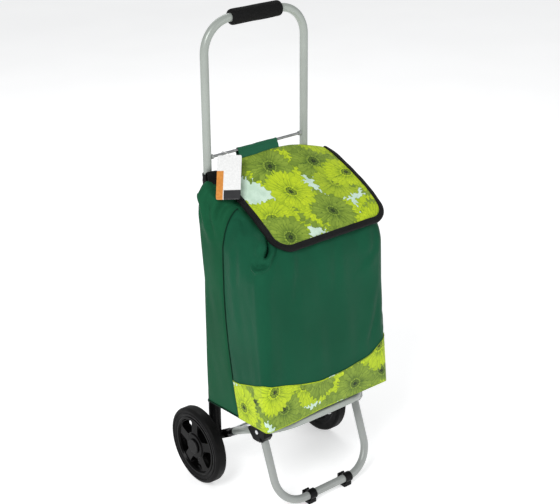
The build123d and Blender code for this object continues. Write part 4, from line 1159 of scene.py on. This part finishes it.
def webbing(name, node, sx, z_mid, width, thick, reach_y, sag=0.0):
    rows = 9
    ring_pts = []
    ang = np.linspace(90 - 205, 90 + 205, 40)
    path = []
    for a in ang:
        path.append((math.sin(math.radians(a - 90)), math.cos(math.radians(a - 90))))
    out = []
    for i in range(rows):
        z = z_mid + width * (i / (rows - 1) - 0.5)
        c_ = leg_centre(sx, z)
        rr = 9.3 + 0.5 * math.sin(i * 1.9)
        row = [(c_[0] - sx * 4.0, reach_y, z - sag), (c_[0] - sx * 6.5, (reach_y + c_[1]) / 2 - 5, z - sag * 0.5)]
        for a in np.linspace(-140, 140, 34):
            t = math.radians(a)
            row.append((c_[0] + sx * -math.sin(t + 0) * rr, c_[1] + math.cos(t) * rr, z + 0.5 * math.sin(t * 2 + i)))
        row += [(c_[0] + sx * 6.5, (reach_y + c_[1]) / 2 - 5, z - sag * 0.5), (c_[0] + sx * 5.0, reach_y, z - sag)]
        if sx * 1 > 0:
            pass
        out.append(row)
    out = np.array(out)
    # keep the round part's travel the same way as its ends
    if (out[0, 2, 0] - out[0, 0, 0]) * -sx < 0:
        out[:, 2:-2] = out[:, 2:-2][:, ::-1]
    ln = np.concatenate([[0], np.cumsum(np.linalg.norm(np.diff(out[rows // 2], axis=0), axis=1))]) / 1000
    uv = np.zeros(out.shape[:2] + (2,))
    uv[..., 0], uv[..., 1] = ln[None, :], np.linspace(0, width, rows)[:, None] / 1000
    o = grid(name, to_row(out), uv, M["tape"])
    modifier(o, "SOLIDIFY", thickness=thick / 1000, offset=0.0)
    modifier(o, "SUBSURF", levels=1, render_levels=1)
    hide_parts(node)
    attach(o, "frame")
    return o


# the left strap carries on over the bag's top corner
tab_path = np.array([(-20.6, 650), (-20.9, 657), (-21.6, 663), (-23.6, 667.2), (-26.6, 668.0), (-29.4, 665.8), (-31.0, 660), (-32.0, 653), (-34.5, 648.6), (-40.0, 647.0)])
tab_run = np.concatenate([[0], np.cumsum(np.linalg.norm(np.diff(tab_path, axis=0), axis=1))])
tabp = np.zeros((28, 12, 3))
tab_uv = np.zeros((28, 12, 2))
for i, q in enumerate(np.linspace(0, tab_run[-1], 28)):
    y_, z_ = np.interp(q, tab_run, tab_path[:, 0]), np.interp(q, tab_run, tab_path[:, 1])
    for j, x_ in enumerate(np.linspace(-130.0, -103.5, 12)):
        tabp[i, j] = (x_ + 0.05 * (q - 20) * (j / 11 - 0.5), y_ + 0.5 * math.sin(j * 0.9), z_ + 0.9 * math.sin(j / 11 * math.pi) - 0.10 * (x_ + 117) * smooth(q / 30.0))
        tab_uv[i, j] = (q / 1000, x_ / 1000)
tab = grid("webbing_tab_left", to_row(tabp), tab_uv, M["tape"])
modifier(tab, "SOLIDIFY", thickness=0.0016, offset=0.0)
modifier(tab, "SUBSURF", levels=1, render_levels=1)
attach(tab, "frame")

webbing("webbing_upper_left", "upper_loop_left", -1, 647, 30, 1.6, -27.0)
webbing("webbing_upper_right", "upper_loop_right", 1, 640, 26, 1.6, -27.0)
webbing("webbing_lower_left", "lower_loop_left", -1, 437, 14, 1.2, -27.0)
webbing("webbing_lower_right", "lower_loop_right", 1, 437, 14, 1.2, -27.0)

# ------------------------------------------------------------------ foam grip
g0, g1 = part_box("handle_grip")
gx0, gx1 = g0.x * 1000, g1.x * 1000
GY, GZ = ((g0.y + g1.y) / 2 - AY) * 1000, ((g0.z + g1.z) / 2 - LIFT) * 1000
ends = [(0.0, 8.4), (0.0, 11.0), (0.6, 13.4), (2.4, 14.7), (6.0, 15.0)]
sect = [(gx0 + a, r) for a, r in ends] + [(x, 15.0) for x in np.linspace(gx0 + 12, gx1 - 12, 26)] + [(gx1 - a, r) for a, r in ends[::-1]]
gp = np.zeros((len(sect), 48, 3))
th = np.linspace(0, 2 * math.pi, 48, endpoint=False)
for i, (x, r) in enumerate(sect):
    body = np.clip(min(x - gx0, gx1 - x) / 14.0, 0, 1)
    rr = r + body * (0.22 * np.sin(x / 11.0 + 2 * np.cos(th)) + 0.18 * np.sin(3 * th + x / 17.0) - 0.25 * np.exp(-((th - 4.7) / 0.5) ** 2))
    gp[i, :, 0] = x
    gp[i, :, 1] = GY + rr * np.cos(th)
    gp[i, :, 2] = GZ + rr * np.sin(th)
guv = np.zeros(gp.shape[:2] + (2,))
guv[..., 0], guv[..., 1] = th[None, :] * 0.015, gp[..., 0] / 1000
grip = grid("foam_grip", to_row(gp), guv, M["foam"], closed=True, close_uv=np.full(len(sect), 2 * math.pi * 0.015), flip=True)
modifier(grip, "SUBSURF", levels=1, render_levels=1)
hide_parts("handle_grip")
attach(grip, "frame")

# ------------------------------------------------------------------ hang tag: bare card with generic colour blocks
s = Shader("tag_print")
u, v = s.split(s.cloth())[:2]
paper = s.mix(s.step(s.noise(300.0, 4.0), 0.35, 0.7), (0.80, 0.80, 0.79), (0.88, 0.88, 0.87))
stripe = s.math("MULTIPLY", s.step(u, 0.275, 0.262), s.step(v, 0.64, 0.655))
stripe_inv = s.math("SUBTRACT", 1.0, s.step(v, 0.64, 0.655))
col = s.mix(s.math("MULTIPLY", s.step(u, 0.285, 0.275), s.step(v, 0.645, 0.635)), paper, s.mix(s.step(s.noise(200.0, 3.0), 0.4, 0.6), (0.62, 0.235, 0.040), (0.70, 0.28, 0.05)))
col = s.mix(s.math("MULTIPLY", s.step(u, 0.305, 0.315), s.step(v, 0.215, 0.205)), col, (0.022, 0.022, 0.024))
TAG = s.set(Base_Color=col, Roughness=s.step(s.noise(80.0, 3.0), 0.3, 0.7, 0.28, 0.36), Normal=s.bump(s.noise(500.0, 3.0), 0.00005, 0.3))
s2 = Shader("tag_string")
su = s2.split(s2.coord())
tw = s2.noise(900.0, 2.0)
STRING = s2.set(Base_Color=s2.mix(tw, (0.55, 0.55, 0.53), (0.75, 0.75, 0.73)), Roughness=0.7, Normal=s2.bump(tw, 0.0003, 0.5))
NODES["tag_cord"].data.materials.clear()
NODES["tag_cord"].data.materials.append(STRING)

_rt2 = np.array([0.785, -0.619, 0.0])
_rt2 /= np.linalg.norm(_rt2)
t_mid, b_mid = np.array([-79.0, -32.0, 694.0]), np.array([-125.0, -85.0, 631.5])
dn = b_mid - t_mid
tag_h = np.linalg.norm(dn)
dn /= tag_h
tn = np.cross(_rt2, dn)
tn = tn if tn[2] > 0 else -tn
ny, nx = 22, 12
tp, tuv = np.zeros((ny, nx, 3)), np.zeros((ny, nx, 2))
for i in range(ny):
    b = i / (ny - 1)
    for j in range(nx):
        a = j / (nx - 1)
        corner = 2.0
        ax = (a - 0.5) * 46.0
        if i in (0, ny - 1):
            ax *= (46.0 - 2 * 0.9) / 46.0
        curl = 1.3 * math.sin(b * math.pi) * 0.8 + 0.9 * (a - 0.5) ** 2 * 4 * 0.6 - 0.6
        tp[i, j] = t_mid + dn * (tag_h * b) + _rt2 * ax + tn * (curl * 0.9)
        tuv[i, j] = (a, 1 - b)
card = grid("hang_tag_card", to_row(tp), tuv, TAG)
modifier(card, "SOLIDIFY", thickness=0.0006, offset=0.0)
modifier(card, "SUBSURF", levels=1, render_levels=1)
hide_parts("tag_card")
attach(card, "tag")

# ------------------------------------------------------------------ floor
floor_s = Shader("studio_floor")
fcol = floor_s.mix(floor_s.step(floor_s.noise(3.0, 3.0), 0.3, 0.7), (0.80, 0.80, 0.80), (0.83, 0.83, 0.83))
floor_s.set(Base_Color=fcol, Roughness=0.7, Emission_Color=(1.0, 1.0, 1.0), Emission_Strength=0.50)
fs = 14.0
steps = 24
fgrid = np.zeros((steps, steps, 3))
ls = np.linspace(-fs, fs, steps)
fgrid[..., 0], fgrid[..., 1] = ls[None, :], ls[:, None]
fuv = np.zeros((steps, steps, 2))
floor = grid("studio_floor", fgrid, fuv, floor_s.mat)
floor.location.z = -0.0002
